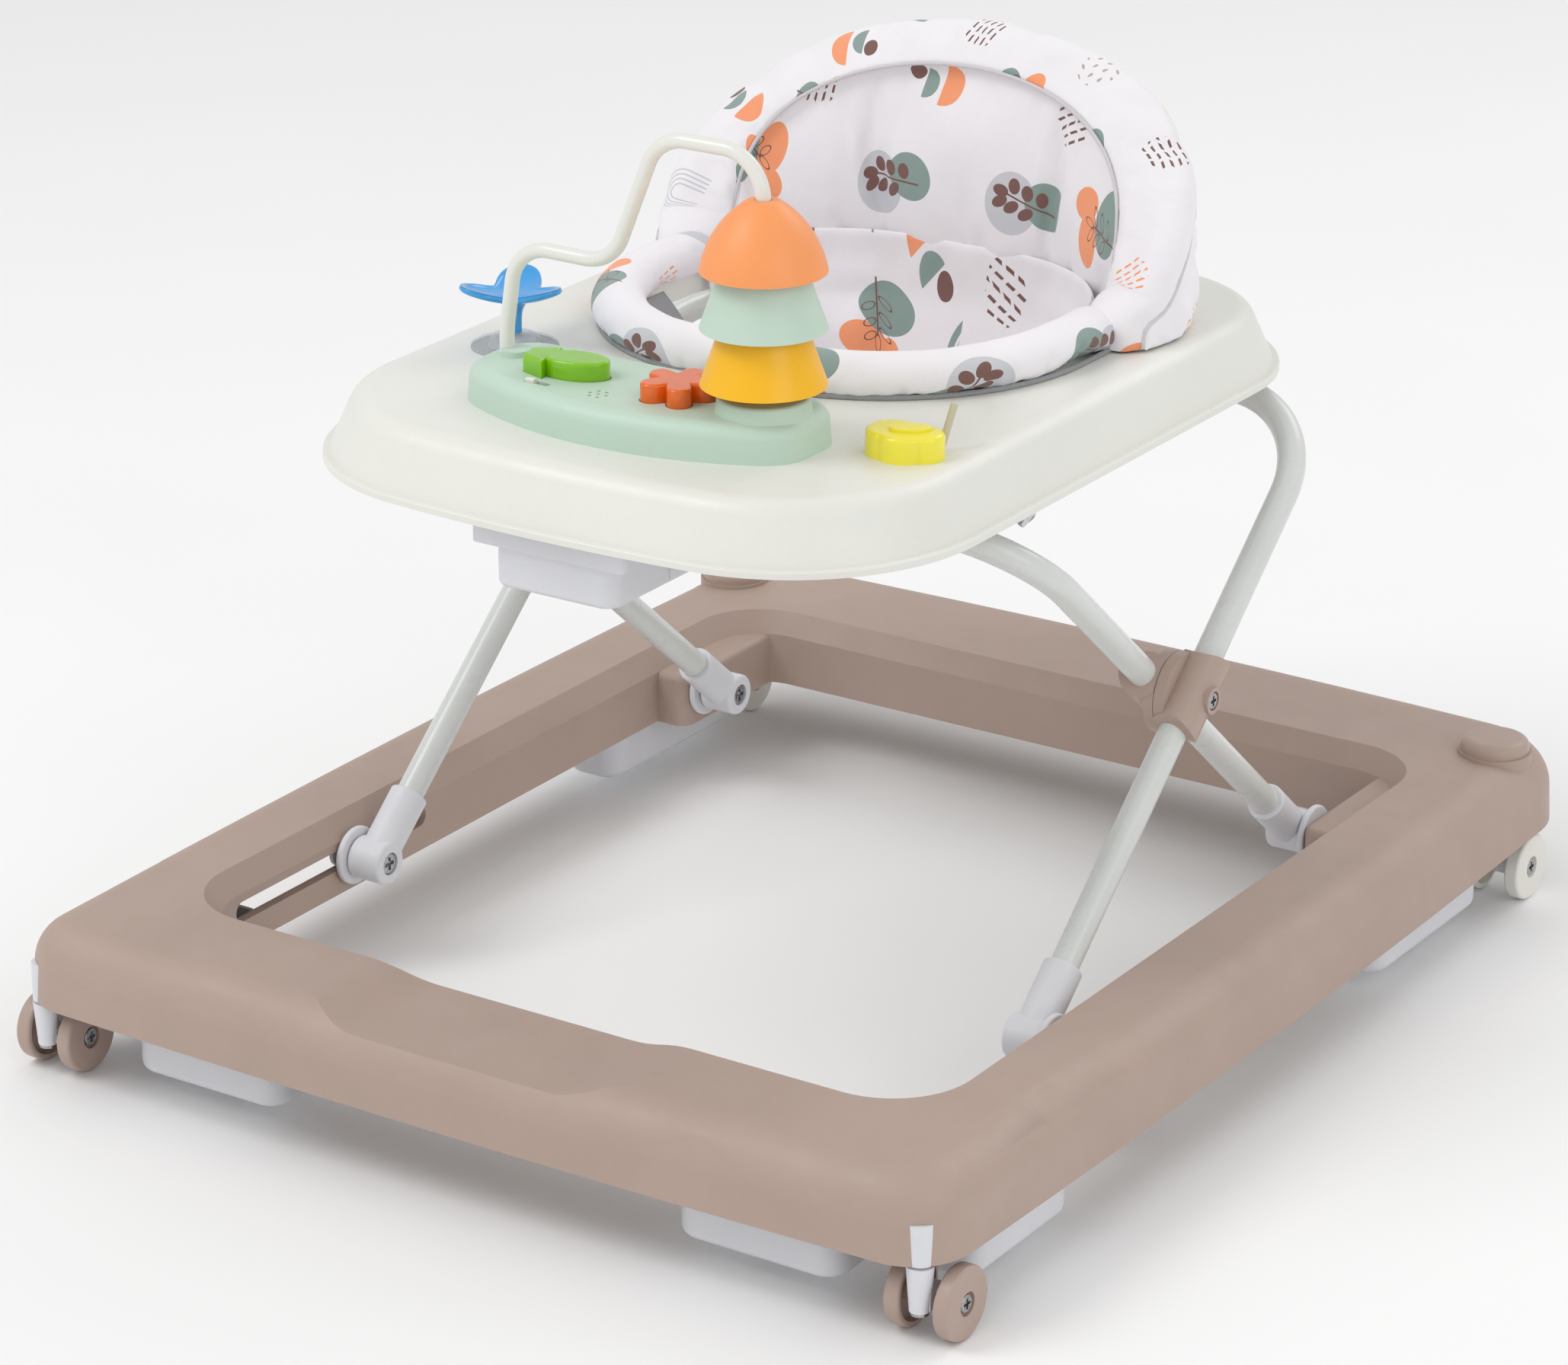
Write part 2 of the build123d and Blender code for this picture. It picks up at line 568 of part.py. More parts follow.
def socket_ribs():
    """Crossed ribs that hold each bush inside the ring."""
    half = BASE_WALL * 0.4
    arm = SOCKET_RADIUS * 3
    ribs = []
    for x, y in socket_places():
        ribs.append(block(x - half, x + half, y - arm, y + arm, SKIRT_Z + 2, BASE_TOP_Z))
        ribs.append(block(x - arm, x + arm, y - half, y + half, SKIRT_Z + 2, BASE_TOP_Z))
    return ribs


# ================================================================ folding frame
def leg_plane(foot_y, direction):
    """Plane through a frame's feet, with its local Y up along the legs."""
    along = Vector(0, direction * cos(LEG_ANGLE), sin(LEG_ANGLE))
    across = Vector(1, 0, 0)
    return Plane(origin=(0, foot_y, FOOT_Z), x_dir=across, z_dir=across.cross(along))


def up_the_leg(x, y, z, direction):
    """Places a piece modelled along +Z so that it lies along the leg."""
    return Pos(x, y, z) * Rot(-direction * (90 - degrees(LEG_ANGLE)), 0, 0)


def leg_frame(foot_y, direction, x, bolt_fit):
    """U-shaped tube: two legs, two wide bends and a straight cross bar."""
    top = LOWER_LEG + UPPER_LEG
    corners = [(x, TUBE_END_GAP), (x, top), (-x, top), (-x, TUBE_END_GAP)]
    path = leg_plane(foot_y, direction) * FilletPolyline(*corners, radius=TUBE_BEND)
    start = Plane(origin=path @ 0, z_dir=path % 0)
    tube = sweep(start * (Circle(TUBE_RADIUS) - Circle(TUBE_RADIUS - TUBE_WALL)), path=path)
    reach = x + 2 * TUBE_RADIUS
    return tube - rod_x(-reach, reach, CROSS_Y, CROSS_Z, BOLT_RADIUS + bolt_fit)


def foot_cap(side, x, foot_y, direction):
    """White moulded sleeve on a tube's lower end, with the pivot eye and a screw recess inside."""
    place = up_the_leg(side * x, foot_y, FOOT_Z, direction)
    align = (Align.CENTER, Align.CENTER, Align.MIN)
    sleeve = Cylinder(CAP_RADIUS, CAP_LENGTH, align=align)
    sleeve = fillet(sleeve.edges().group_by(Axis.Z)[-1], 1.2)
    eye = rod_x(-CAP_RADIUS, CAP_RADIUS, 0, 0, CAP_RADIUS + 1.5)
    eye = fillet(eye.edges().filter_by(GeomType.CIRCLE), 2)
    cap = place * (sleeve + eye)
    cap -= place * Pos(0, 0, TUBE_END_GAP) * Cylinder(TUBE_RADIUS + SEAT_FIT, CAP_LENGTH, align=align)
    inner = side * (x - CAP_RADIUS)
    outer = side * (x + CAP_RADIUS)
    cap -= rod_x(inner - side, outer + side, foot_y, FOOT_Z, PIN_RADIUS + RUN_FIT)
    return cap - rod_x(inner - side, inner + side * 3.4, foot_y, FOOT_Z, PIN_RADIUS + 1.6)


def pivot_stub(side, x, foot_y, disc_x):
    """Pin from a disc at the wall into the cap's bore, drilled for its retaining screw."""
    end = side * (x - CAP_RADIUS + 3.4 - BODY_GAP)
    stub = rod_x(side * disc_x, end, foot_y, FOOT_Z, PIN_RADIUS)
    return stub - rod_x(end - side, end + side * 13, foot_y, FOOT_Z, SCREW_RADIUS)


def pivot_screws(x, foot_y):
    """Screws with wide heads that keep the caps on their pins."""
    head = screw(PIN_RADIUS + 1.2, 2.2, SCREW_RADIUS - SEAT_FIT, 12)
    places = [(side, side * (x - CAP_RADIUS + 3.4 - BODY_GAP - SEAT_FIT)) for side in (1, -1)]
    return [Pos(end, foot_y, FOOT_Z) * facing_x(-side) * head for side, end in places]


def shoe(side):
    """Disc that slides along the rail's inner wall, with its pivot pin and a neck through the slot."""
    disc_x = OPENING_HALF_WIDTH - SHOE_GAP - SHOE_THICKNESS
    disc = rod_x(side * disc_x, side * (disc_x + SHOE_THICKNESS), FRONT_FOOT_Y, FOOT_Z, SHOE_RADIUS)
    disc = fillet(disc.edges().filter_by(GeomType.CIRCLE), 1.4)
    neck_end = OPENING_HALF_WIDTH + BASE_WALL + TRACK_THICKNESS + RETAINER_THICKNESS + BODY_GAP
    neck = rod_x(side * (disc_x + 1), side * neck_end, FRONT_FOOT_Y, FOOT_Z, SLOT_HEIGHT / 2 - BODY_GAP)
    return disc + neck + pivot_stub(side, FRONT_LEG_X, FRONT_FOOT_Y, disc_x + 1)


def shoe_retainer(side):
    """Washer pressed on the shoe's neck behind the track."""
    start = OPENING_HALF_WIDTH + BASE_WALL + TRACK_THICKNESS + BODY_GAP
    end = start + RETAINER_THICKNESS
    ring = rod_x(side * start, side * end, FRONT_FOOT_Y, FOOT_Z, RETAINER_RADIUS)
    bore = SLOT_HEIGHT / 2 - BODY_GAP + SEAT_FIT
    return ring - rod_x(side * (start - 1), side * (end + 1), FRONT_FOOT_Y, FOOT_Z, bore)


def rear_pivot(side):
    """Fixed disc and pin on the corner block for a rear leg's foot."""
    face = block_inner_x()
    disc_x = face - SHOE_THICKNESS
    disc = rod_x(side * disc_x, side * face, REAR_FOOT_Y, FOOT_Z, SHOE_RADIUS)
    disc = fillet(disc.edges().filter_by(GeomType.CIRCLE), 1.4)
    spigot = rod_x(side * (face - 1), side * (face + 12), REAR_FOOT_Y, FOOT_Z, BOLT_RADIUS - 0.5 - SEAT_FIT)
    return disc + spigot + pivot_stub(side, REAR_LEG_X, REAR_FOOT_Y, disc_x + 1)


def saddle(side, x, direction, outwards):
    """Half shell around a tube at the scissor joint, flat where it meets the other one."""
    flat = x - outwards * (TUBE_PITCH / 2 - BODY_GAP / 2)
    far = x + outwards * (SADDLE_RADIUS + 4)
    place = up_the_leg(side * x, CROSS_Y, CROSS_Z, direction)
    shell = place * Cylinder(SADDLE_RADIUS, 2 * SADDLE_LENGTH)
    trim = rod_x(side * flat, side * far, CROSS_Y, CROSS_Z, SADDLE_LENGTH / 2 + 1)
    disc_end = side * (flat + outwards * SADDLE_DISC_THICKNESS)
    disc = rod_x(side * flat, disc_end, CROSS_Y, CROSS_Z, SADDLE_DISC_RADIUS)
    body = shell & trim
    body += disc
    outer_face = side * (x + outwards * (SADDLE_RADIUS + 1.5))
    body += rod_x(side * x, outer_face, CROSS_Y, CROSS_Z, BOLT_RADIUS + 4.5)
    body -= place * Cylinder(TUBE_RADIUS + SEAT_FIT, 3 * SADDLE_LENGTH)
    body -= rod_x(side * (flat - outwards), side * far, CROSS_Y, CROSS_Z, BOLT_RADIUS + RUN_FIT)
    body -= rod_x(outer_face - side * outwards * 3, side * far, CROSS_Y, CROSS_Z, BOLT_RADIUS + 2.3)
    return body


def cross_bolt(side):
    """Bolt through both tubes, its head in the outer saddle and its nut in the inner one."""
    outer = FRONT_LEG_X + SADDLE_RADIUS + 1.5 - 3
    inner = REAR_LEG_X - SADDLE_RADIUS - 1.5 + 3
    shank = rod_x(side * (inner - 2.4), side * (outer + 1), CROSS_Y, CROSS_Z, BOLT_RADIUS)
    head = screw(BOLT_RADIUS + 1.9, 2.4, BOLT_RADIUS, 1)
    bolt = shank + Pos(side * (outer + BODY_GAP / 2), CROSS_Y, CROSS_Z) * facing_x(side) * head
    nut = rod_x(side * (inner - 2.4), side * (inner - BODY_GAP / 2), CROSS_Y, CROSS_Z, BOLT_RADIUS + 1.9)
    return bolt + nut


# ================================================================ tray
def tray_outline(inset):
    return outline(
        TRAY_HALF_WIDTH - inset, TRAY_FRONT_Y + inset, TRAY_REAR_Y - inset,
        TRAY_FRONT_CORNER - inset, TRAY_REAR_CORNER - inset, 0, TRAY_FRONT_BOW, 0)


def hole_outline(inset):
    return outline(
        HOLE_HALF_WIDTH - inset, HOLE_FRONT_Y + inset, HOLE_REAR_Y - inset,
        HOLE_FRONT_CORNER - inset, HOLE_REAR_CORNER - inset)


def tray_block(inset, edge_radius):
    """Solid pan, smaller by the inset on every face."""
    outer = extrude(Pos(0, 0, TRAY_RIM_Z) * tray_outline(inset), TRAY_HEIGHT - inset, taper=TRAY_DRAFT)
    return fillet(outer.edges().group_by(Axis.Z)[-1], edge_radius)


def tray_shell():
    """Inverted pan with a rim lip, the seat hole and its collar."""
    inner = tray_block(TRAY_WALL, TRAY_EDGE_RADIUS - TRAY_WALL)
    body = tray_block(0, TRAY_EDGE_RADIUS)
    lip = extrude(Pos(0, 0, TRAY_RIM_Z) * tray_outline(-RIM_LIP), RIM_HEIGHT)
    body += fillet(lip.edges().group_by(Axis.Z)[-1], 1.2)
    below = extrude(Pos(0, 0, TRAY_RIM_Z - 1) * tray_outline(TRAY_WALL), 1 + SEAT_FIT)
    body -= inner + below
    collar = extrude(Pos(0, 0, TRAY_TOP_Z - COLLAR_DEPTH) * hole_outline(-TRAY_WALL), COLLAR_DEPTH - 1)
    body += collar
    body -= extrude(Pos(0, 0, TRAY_RIM_Z) * hole_outline(0), TRAY_HEIGHT + 1)
    for x, y, radius in tray_holes():
        body -= rod_z(x, y, TRAY_RIM_Z, TRAY_TOP_Z + 1, radius)
    return body


def tray_holes():
    """Place and radius of each round hole through the tray top."""
    holes = [(SPINNER_X, SPINNER_Y, SPINNER_PIN + 1.5), (FRUIT_X, FRUIT_Y, PEG_RADIUS + SEAT_FIT)]
    return holes + [(x, y, SCREW_RADIUS + 0.3) for x, y in console_screw_places()]


def bar_bracket(side):
    """Upper half of the block that hangs the tray on the front frame's cross bar."""
    x0, x1 = side * (BRACKET_X - BRACKET_WIDTH / 2), side * (BRACKET_X + BRACKET_WIDTH / 2)
    y0, y1 = REAR_BAR_Y - BRACKET_DEPTH / 2, REAR_BAR_Y + BRACKET_DEPTH / 2
    body = block(x0, x1, y0, y1, BAR_Z, TRAY_TOP_Z - TRAY_WALL)
    body -= rod_x(x0 - side, x1 + side, REAR_BAR_Y, BAR_Z, TUBE_RADIUS + RUN_FIT)
    mid = (x0 + x1) / 2
    for y in (y0 + 3, y1 - 3):
        body -= rod_z(mid, y, BAR_Z - 1, BAR_Z + 12, SCREW_RADIUS * 0.8)
    return body


def bar_clip(side):
    """Lower half of the bracket, screwed up against it."""
    x0, x1 = side * (BRACKET_X - BRACKET_WIDTH / 2), side * (BRACKET_X + BRACKET_WIDTH / 2)
    y0, y1 = REAR_BAR_Y - BRACKET_DEPTH / 2, REAR_BAR_Y + BRACKET_DEPTH / 2
    body = block(x0, x1, y0, y1, BAR_Z - TUBE_RADIUS - 4, BAR_Z)
    body = fillet(body.edges().group_by(Axis.Z)[0].filter_by(Axis.X), 5)
    body -= rod_x(x0 - side, x1 + side, REAR_BAR_Y, BAR_Z, TUBE_RADIUS + RUN_FIT)
    mid = (x0 + x1) / 2
    for y in (y0 + 3, y1 - 3):
        body -= rod_z(mid, y, BAR_Z - TUBE_RADIUS - 5, BAR_Z + 1, SCREW_RADIUS * 0.8)
    return body


def clip_screws():
    """Screws through the clips into the brackets."""
    shape = Rot(180, 0, 0) * screw(2.8, 1.8, SCREW_RADIUS * 0.8 - SEAT_FIT, 16)
    low = BAR_Z - TUBE_RADIUS - 4
    shift = BRACKET_DEPTH / 2 - 3
    places = [(side * BRACKET_X, REAR_BAR_Y + dy) for side in (1, -1) for dy in (-shift, shift)]
    return [Pos(x, y, low) * shape for x, y in places]


def housing_front():
    return FRONT_BAR_Y - BAR_TRAVEL - HOUSING_NOSE


def adjuster_housing():
    """White box under the tray; the rear frame's cross bar slides in its side slots."""
    front, rear = housing_front(), FRONT_BAR_Y + HOUSING_TAIL
    low, top = BAR_Z - HOUSING_DROP, TRAY_TOP_Z - TRAY_WALL
    wide = HOUSING_HALF_WIDTH
    ledge = TRAY_RIM_Z + 4
    body = block(-wide, wide, front, rear, low, ledge)
    body = fillet(body.edges().filter_by(Axis.Z).sort_by(Axis.Y)[:2], 10)
    body = fillet(body.faces().sort_by(Axis.Z)[0].edges().sort_by(Axis.Y)[:5], 3)
    flange = block(-wide - 10, wide + 10, front - 4, front + 30, TRAY_RIM_Z - 14, ledge)
    body += fillet(flange.edges().filter_by(Axis.Z), 4)
    body += block(-wide, wide, front + 34, rear, ledge - 1, top)
    wall = HOUSING_WALL
    body -= block(-wide + wall, wide - wall, front + wall + 8, rear - wall, low + wall, top + 1)
    slot_height = 2 * (TUBE_RADIUS + SLIDE_GAP)
    slot_start = FRONT_BAR_Y - BAR_TRAVEL - TUBE_RADIUS - 4
    slot_end = FRONT_BAR_Y + TUBE_RADIUS + SLIDE_GAP
    body -= capsule_x(-wide - 1, wide + 1, slot_start, slot_end, BAR_Z, slot_height)
    body -= latch_block(SLIDE_GAP)
    for i in range(7):
        y = slot_start + 6 + i * 14
        body += block(wide, wide + 1.2, y, y + 4, low + 3, BAR_Z - TUBE_RADIUS - 3)
        body += block(-wide - 1.2, -wide, y, y + 4, low + 3, BAR_Z - TUBE_RADIUS - 3)
    return body


def latch_block(gap):
    """Space that the latch takes up: a grip under the nose and a plate below the bar's path."""
    front = housing_front()
    low = BAR_Z - HOUSING_DROP
    plate_low = low + HOUSING_WALL + 1
    plate_top = plate_low + LATCH_THICKNESS + gap
    travel = LATCH_TRAVEL if gap else 0
    half, grip_half = LATCH_HALF_WIDTH + gap, LATCH_HALF_WIDTH - 4 + gap
    plate = block(-half, half, front + 14 - travel, FRONT_BAR_Y - 6 + gap, plate_low - gap, plate_top)
    return plate + block(-grip_half, grip_half, front + 10 - travel, front + 20 + gap, low - 2, plate_top)


def latch_plate():
    """Spring-loaded plate with a finger grip; three low teeth mark the heights."""
    plate = latch_block(0)
    top = BAR_Z - HOUSING_DROP + HOUSING_WALL + 4
    lug_front = housing_front() + SPRING_START + SPRING_LENGTH + BODY_GAP
    plate += block(-4, 4, lug_front, lug_front + 2, top - 1, top + 2 * SPRING_RADIUS)
    for i in range(3):
        y = FRONT_BAR_Y - 10 - i * 16
        plate += block(-22, 22, y - 3, y, top, top + 3)
    return plate


def latch_spring():
    """Coil that pushes the latch back home."""
    middle = BAR_Z - HOUSING_DROP + HOUSING_WALL + 4 + SPRING_RADIUS + SPRING_WIRE
    end = housing_front() + SPRING_START + SPRING_LENGTH
    return Pos(0, end, middle) * Rot(90, 0, 0) * coil_spring(SPRING_RADIUS, SPRING_WIRE, SPRING_LENGTH, 7)


# ================================================================ seat
def seat_roll():
    """Padded ring that covers the edge of the seat hole."""
    outer = extrude(Pos(0, 0, TRAY_TOP_Z + BODY_GAP) * hole_outline(-ROLL_OVERLAP), ROLL_HEIGHT)
    outer = fillet(outer.edges().group_by(Axis.Z)[-1], ROLL_HEIGHT * 0.45)
    inner = hole_outline(ROLL_WIDTH - ROLL_OVERLAP)
    return outer - extrude(Pos(0, 0, TRAY_TOP_Z - 1) * inner, ROLL_HEIGHT + 4)


def sling_section(depth, inset):
    """Cross-section of the hanging seat at a depth below the tray top."""
    share = depth / SLING_DEPTH
    front = HOLE_FRONT_Y + 4 + 62 * share + inset
    rear = HOLE_REAR_Y - 4 - 34 * share - inset
    half = HOLE_HALF_WIDTH - 4 - 34 * share - inset
    front_radius = HOLE_FRONT_CORNER - 4 - 40 * share - inset
    rear_radius = HOLE_REAR_CORNER - 4 - 34 * share - inset
    return Pos(0, 0, TRAY_TOP_Z - depth) * outline(half, front, rear, front_radius, rear_radius)


def seat_sling():
    """Fabric seat that hangs in the hole, with two leg holes in its floor."""
    depths = [0, SLING_DEPTH * 0.55, SLING_DEPTH]
    outer = loft([sling_section(d, 0) for d in depths])
    inner = loft([sling_section(d, SLING_CLOTH) for d in [0, SLING_DEPTH * 0.55, SLING_DEPTH - SLING_CLOTH]])
    lid = extrude(sling_section(0, SLING_CLOTH), 5)
    sling = outer - inner - lid
    middle = (HOLE_FRONT_Y + HOLE_REAR_Y) / 2 - 8
    for side in (-1, 1):
        leg = Pos(side * LEG_HOLE_X, middle, TRAY_TOP_Z - SLING_DEPTH - 20) * Rot(0, side * 26, 0)
        sling -= leg * Cylinder(LEG_HOLE_RADIUS, 150)
    return sling


def backrest():
    """Upright padded hood round the back of the hole."""
    z = TRAY_TOP_Z + ROLL_HEIGHT
    low = TRAY_TOP_Z + BODY_GAP
    outer = Ellipse(BACK_HALF_WIDTH + BACK_ROLL / 2, BACK_DEPTH + BACK_ROLL / 2)
    inner = Ellipse(BACK_HALF_WIDTH - BACK_ROLL / 2, BACK_DEPTH - BACK_ROLL / 2)
    band = extrude(Pos(0, BACK_MID_Y, low) * (outer - inner), z + BACK_RISE - low)
    reach = BACK_HALF_WIDTH + BACK_ROLL
    front = BACK_MID_Y - BACK_FRONT_CUT
    band -= block(-reach, reach, front - reach, front, low - 1, z + BACK_RISE + 1)
    band -= extrude(Pos(0, 0, low - 1) * hole_outline(-ROLL_OVERLAP - BODY_GAP), z - low + 1 + BODY_GAP)
    arch = Plane.XZ * Pos(0, z) * Ellipse(BACK_HALF_WIDTH + BACK_ROLL / 2 + 1, BACK_RISE)
    curtain = Pos(0, BACK_MID_Y + reach, 0) * extrude(arch, 2 * reach)
    return band & (curtain + block(-reach, reach, front, BACK_MID_Y + reach, low, z))


# ================================================================ console and toys
def console_outline(inset):
    half = CONSOLE_HALF_LENGTH - inset
    rear = CONSOLE_DEPTH / 2 - inset
    front = CONSOLE_FRONT_BOW + inset - CONSOLE_DEPTH / 2
    return outline(half, front, rear, 27 - inset, 25 - inset, 0, CONSOLE_FRONT_BOW, 0)


def console_block(inset, height, radius):
    shape = extrude(console_outline(inset), height, taper=4)
    shape = fillet(shape.edges().group_by(Axis.Z)[-1], radius)
    return Pos(0, CONSOLE_Y, TRAY_TOP_Z) * shape


def console_screw_places():
    half = CONSOLE_HALF_LENGTH - 16
    front = CONSOLE_Y - CONSOLE_DEPTH / 2 + 12
    return [(14 - half, CONSOLE_Y - 12), (half - 2, CONSOLE_Y - 12), (0, front)]


def fish_outline(outset):
    body = Ellipse(19 + outset, 11 + outset)
    tail = Pos(-21, 0) * Trapezoid(26 + 2 * outset, 14 + 2 * outset, 62, rotation=90)
    return Pos(FISH_X + 4, CONSOLE_Y) * Rot(0, 0, 10) * (body + tail)


def star_outline(outset):
    """Five short round-ended arms."""
    radius = STAR_ARM_WIDTH / 2
    middle = (STAR_ARM_REACH - radius) / 2 + 3
    arm = Pos(middle, 0) * SlotCenterToCenter(2 * (STAR_ARM_REACH - radius - middle), 2 * (radius + outset))
    shape = Circle(radius + 2)
    for i in range(5):
        shape += Rot(0, 0, 90 + 72 * i) * arm
    return Pos(STAR_X, STAR_Y) * shape


def button(flat, flange):
    """Clear moulded key with a flange that stops it under the lid."""
    top = CONSOLE_TOP_Z
    key = extrude(Pos(0, 0, top - KEY_DEPTH) * flat, KEY_DEPTH + BUTTON_RISE)
    key = fillet(key.edges().group_by(Axis.Z)[-1], 1.6)
    return key + extrude(Pos(0, 0, top - KEY_DEPTH) * flange, 2)


def console_lid():
    """Mint cover with holes for the keys, the switch, the speaker, the wire and the cone post."""
    top = CONSOLE_TOP_Z
    lid = console_block(0, CONSOLE_HEIGHT, 8)
    lid += rod_z(WIRE_X + 6, WIRE_Y, TRAY_TOP_Z + 2, top + 3, 10, 8)
    collar = rod_z(CONE_X, CONE_Y, top - 6, top + COLLAR_RISE, COLLAR_RADIUS, COLLAR_RADIUS - 2)
    lid += fillet(collar.edges().group_by(Axis.Z)[-1], 2)
    hollow = console_block(CONSOLE_WALL, CONSOLE_HEIGHT - CONSOLE_WALL, 8 - CONSOLE_WALL)
    core_radius = COLLAR_RADIUS - 2 - CONSOLE_WALL
    hollow += rod_z(CONE_X, CONE_Y, top - 8, top + COLLAR_RISE - CONSOLE_WALL, core_radius)
    hollow -= rod_z(WIRE_X + 6, WIRE_Y, TRAY_TOP_Z + 2, top, WIRE_RADIUS + 4)
    hollow -= rod_z(CONE_X, CONE_Y, TRAY_TOP_Z + 2, top + COLLAR_RISE, WIRE_RADIUS + 4)
    for x, y in console_screw_places():
        hollow -= rod_z(x, y, TRAY_TOP_Z + 2, top, 4.5)
    lid -= hollow
    for flat in (fish_outline(SLIDE_GAP), star_outline(SLIDE_GAP)):
        lid -= extrude(Pos(0, 0, top - 6) * flat, 12)
    for x, y in console_screw_places():
        lid -= rod_z(x, y, TRAY_TOP_Z - 1, TRAY_TOP_Z + 11, SCREW_RADIUS - SEAT_FIT)
    for x, y in speaker_holes():
        lid -= rod_z(x, y, top - 5, top + 1, 1.0)
    lid -= block(SWITCH_X - 7.5, SWITCH_X + 7.5, SWITCH_Y - 2, SWITCH_Y + 2, top - 5, top + 1)
    lid -= rod_z(CONE_X, CONE_Y, TRAY_TOP_Z + 5, top + COLLAR_RISE + 4, WIRE_RADIUS + SEAT_FIT)
    return lid - rod_z(WIRE_X, WIRE_Y, TRAY_TOP_Z + 6, top + 5, WIRE_RADIUS + SEAT_FIT)


def speaker_holes():
    """One hole in the middle and six round it."""
    ring = [(SPEAKER_X + 5 * cos(pi * i / 3), SPEAKER_Y + 5 * sin(pi * i / 3)) for i in range(6)]
    return [(SPEAKER_X, SPEAKER_Y)] + ring


def console_base():
    """Flat plate under the lid."""
    plate = extrude(Pos(0, CONSOLE_Y, TRAY_TOP_Z) * console_outline(CONSOLE_WALL + 0.6), 1.6)
    for x, y in console_screw_places():
        plate -= rod_z(x, y, TRAY_TOP_Z - 1, TRAY_TOP_Z + 3, 4.5 + SEAT_FIT)
    for x, y in ((WIRE_X + 6, WIRE_Y), (CONE_X, CONE_Y)):
        plate -= rod_z(x, y, TRAY_TOP_Z - 1, TRAY_TOP_Z + 3, WIRE_RADIUS + 5)
    return plate


def circuit_board():
    z = TRAY_TOP_Z + 3
    board = block(-66, 48, CONSOLE_Y - 24, CONSOLE_Y + 12, z, z + 1.6)
    for x, y in ((FISH_X, CONSOLE_Y), (STAR_X, STAR_Y)):
        board += block(x - 4, x + 4, y - 4, y + 4, z + 1.6, z + 3)
    return board


def speaker():
    z = CONSOLE_TOP_Z - CONSOLE_WALL - 5
    rim = rod_z(SPEAKER_X, SPEAKER_Y, z, z + 4.6, 9)
    return rim - rod_z(SPEAKER_X, SPEAKER_Y, z + 2, z + 5, 7)


def battery_cells():
    """Two cells end to end behind the keys."""
    z = TRAY_TOP_Z + 2.2 + CELL_RADIUS
    y = CONSOLE_Y + CONSOLE_DEPTH / 2 - 12
    cells = []
    for start in (-66, -66 + CELL_LENGTH + 2):
        end = start + CELL_LENGTH
        cells.append(rod_x(start, end, y, z, CELL_RADIUS) + rod_x(end, end + 1, y, z, 1.9))
    return cells


def slide_switch():
    """White thumb slider in the lid's slot."""
    top = CONSOLE_TOP_Z
    knob = block(SWITCH_X - 6.9, SWITCH_X - 1.5, SWITCH_Y - 1.5, SWITCH_Y + 1.5, top - 4, top + 2)
    knob = fillet(knob.edges().group_by(Axis.Z)[-1], 0.8)
    plate_top = top - CONSOLE_WALL - BODY_GAP
    return knob + block(SWITCH_X - 8, SWITCH_X, SWITCH_Y - 3, SWITCH_Y + 3, top - 5, plate_top)


def console_screws():
    shape = Rot(180, 0, 0) * screw(3.2, 1.8, SCREW_RADIUS - 2 * SEAT_FIT, 12)
    return [Pos(x, y, TRAY_TOP_Z - TRAY_WALL) * shape for x, y in console_screw_places()]


def toy_wire():
    """Bent rod that rises from the console, runs over in two waves and comes down through the cones."""
    low = TRAY_TOP_Z + 6.5
    step = TRAY_TOP_Z + WIRE_STEP_RISE
    top = TRAY_TOP_Z + WIRE_TOP_RISE
    points = [
        (WIRE_X, WIRE_Y, low), (WIRE_X, WIRE_Y, low + 26), (WIRE_X + 7, WIRE_Y, step),
        (CONE_X - 97, WIRE_Y - 1, step), (CONE_X - 64, CONE_Y, top), (CONE_X, CONE_Y, top),
        (CONE_X, CONE_Y, low)]
    path = FilletPolyline(*points, radius=[60, 24, 26, 26, 24])
    start = Plane(origin=path @ 0, z_dir=path % 0)
    return sweep(start * Circle(WIRE_RADIUS), path=path)


def bell(radius, top_radius, height, bulge):
    """Solid bell standing at z = 0, straight-sided or bulging out."""
    if bulge:
        middle = ((radius + top_radius) / 2 + bulge, height / 2 + bulge * (radius - top_radius) / height)
        side = ThreePointArc((radius, 0), middle, (top_radius, height))
    else:
        side = Line((radius, 0), (top_radius, height))
    rest = Polyline((top_radius, height), (0, height), (0, 0), (radius, 0))
    return revolve(Plane.XZ * make_face([side, rest]), axis=Axis.Z)


def cone(level, domed):
    """Hollow bell on the rod, with a hub tube; level counts up from the lowest one."""
    top_radius = DOME_TOP_RADIUS if domed else CONE_TOP_RADIUS
    bulge = DOME_BULGE if domed else 0
    body = bell(CONE_RADIUS, top_radius, CONE_HEIGHT, bulge)
    body = fillet(body.edges().group_by(Axis.Z)[-1], 4)
    body -= bell(CONE_RADIUS - CONE_WALL, top_radius - CONE_WALL, CONE_HEIGHT - CONE_WALL - 1, bulge)
    body += rod_z(0, 0, HUB_LIFT, CONE_HEIGHT - 1, WIRE_RADIUS + 3)
    body -= rod_z(0, 0, 0, CONE_HEIGHT + 1, WIRE_RADIUS + BODY_GAP)
    return Pos(CONE_X, CONE_Y, TRAY_TOP_Z + CONE_FIRST_RISE + level * CONE_PITCH) * body


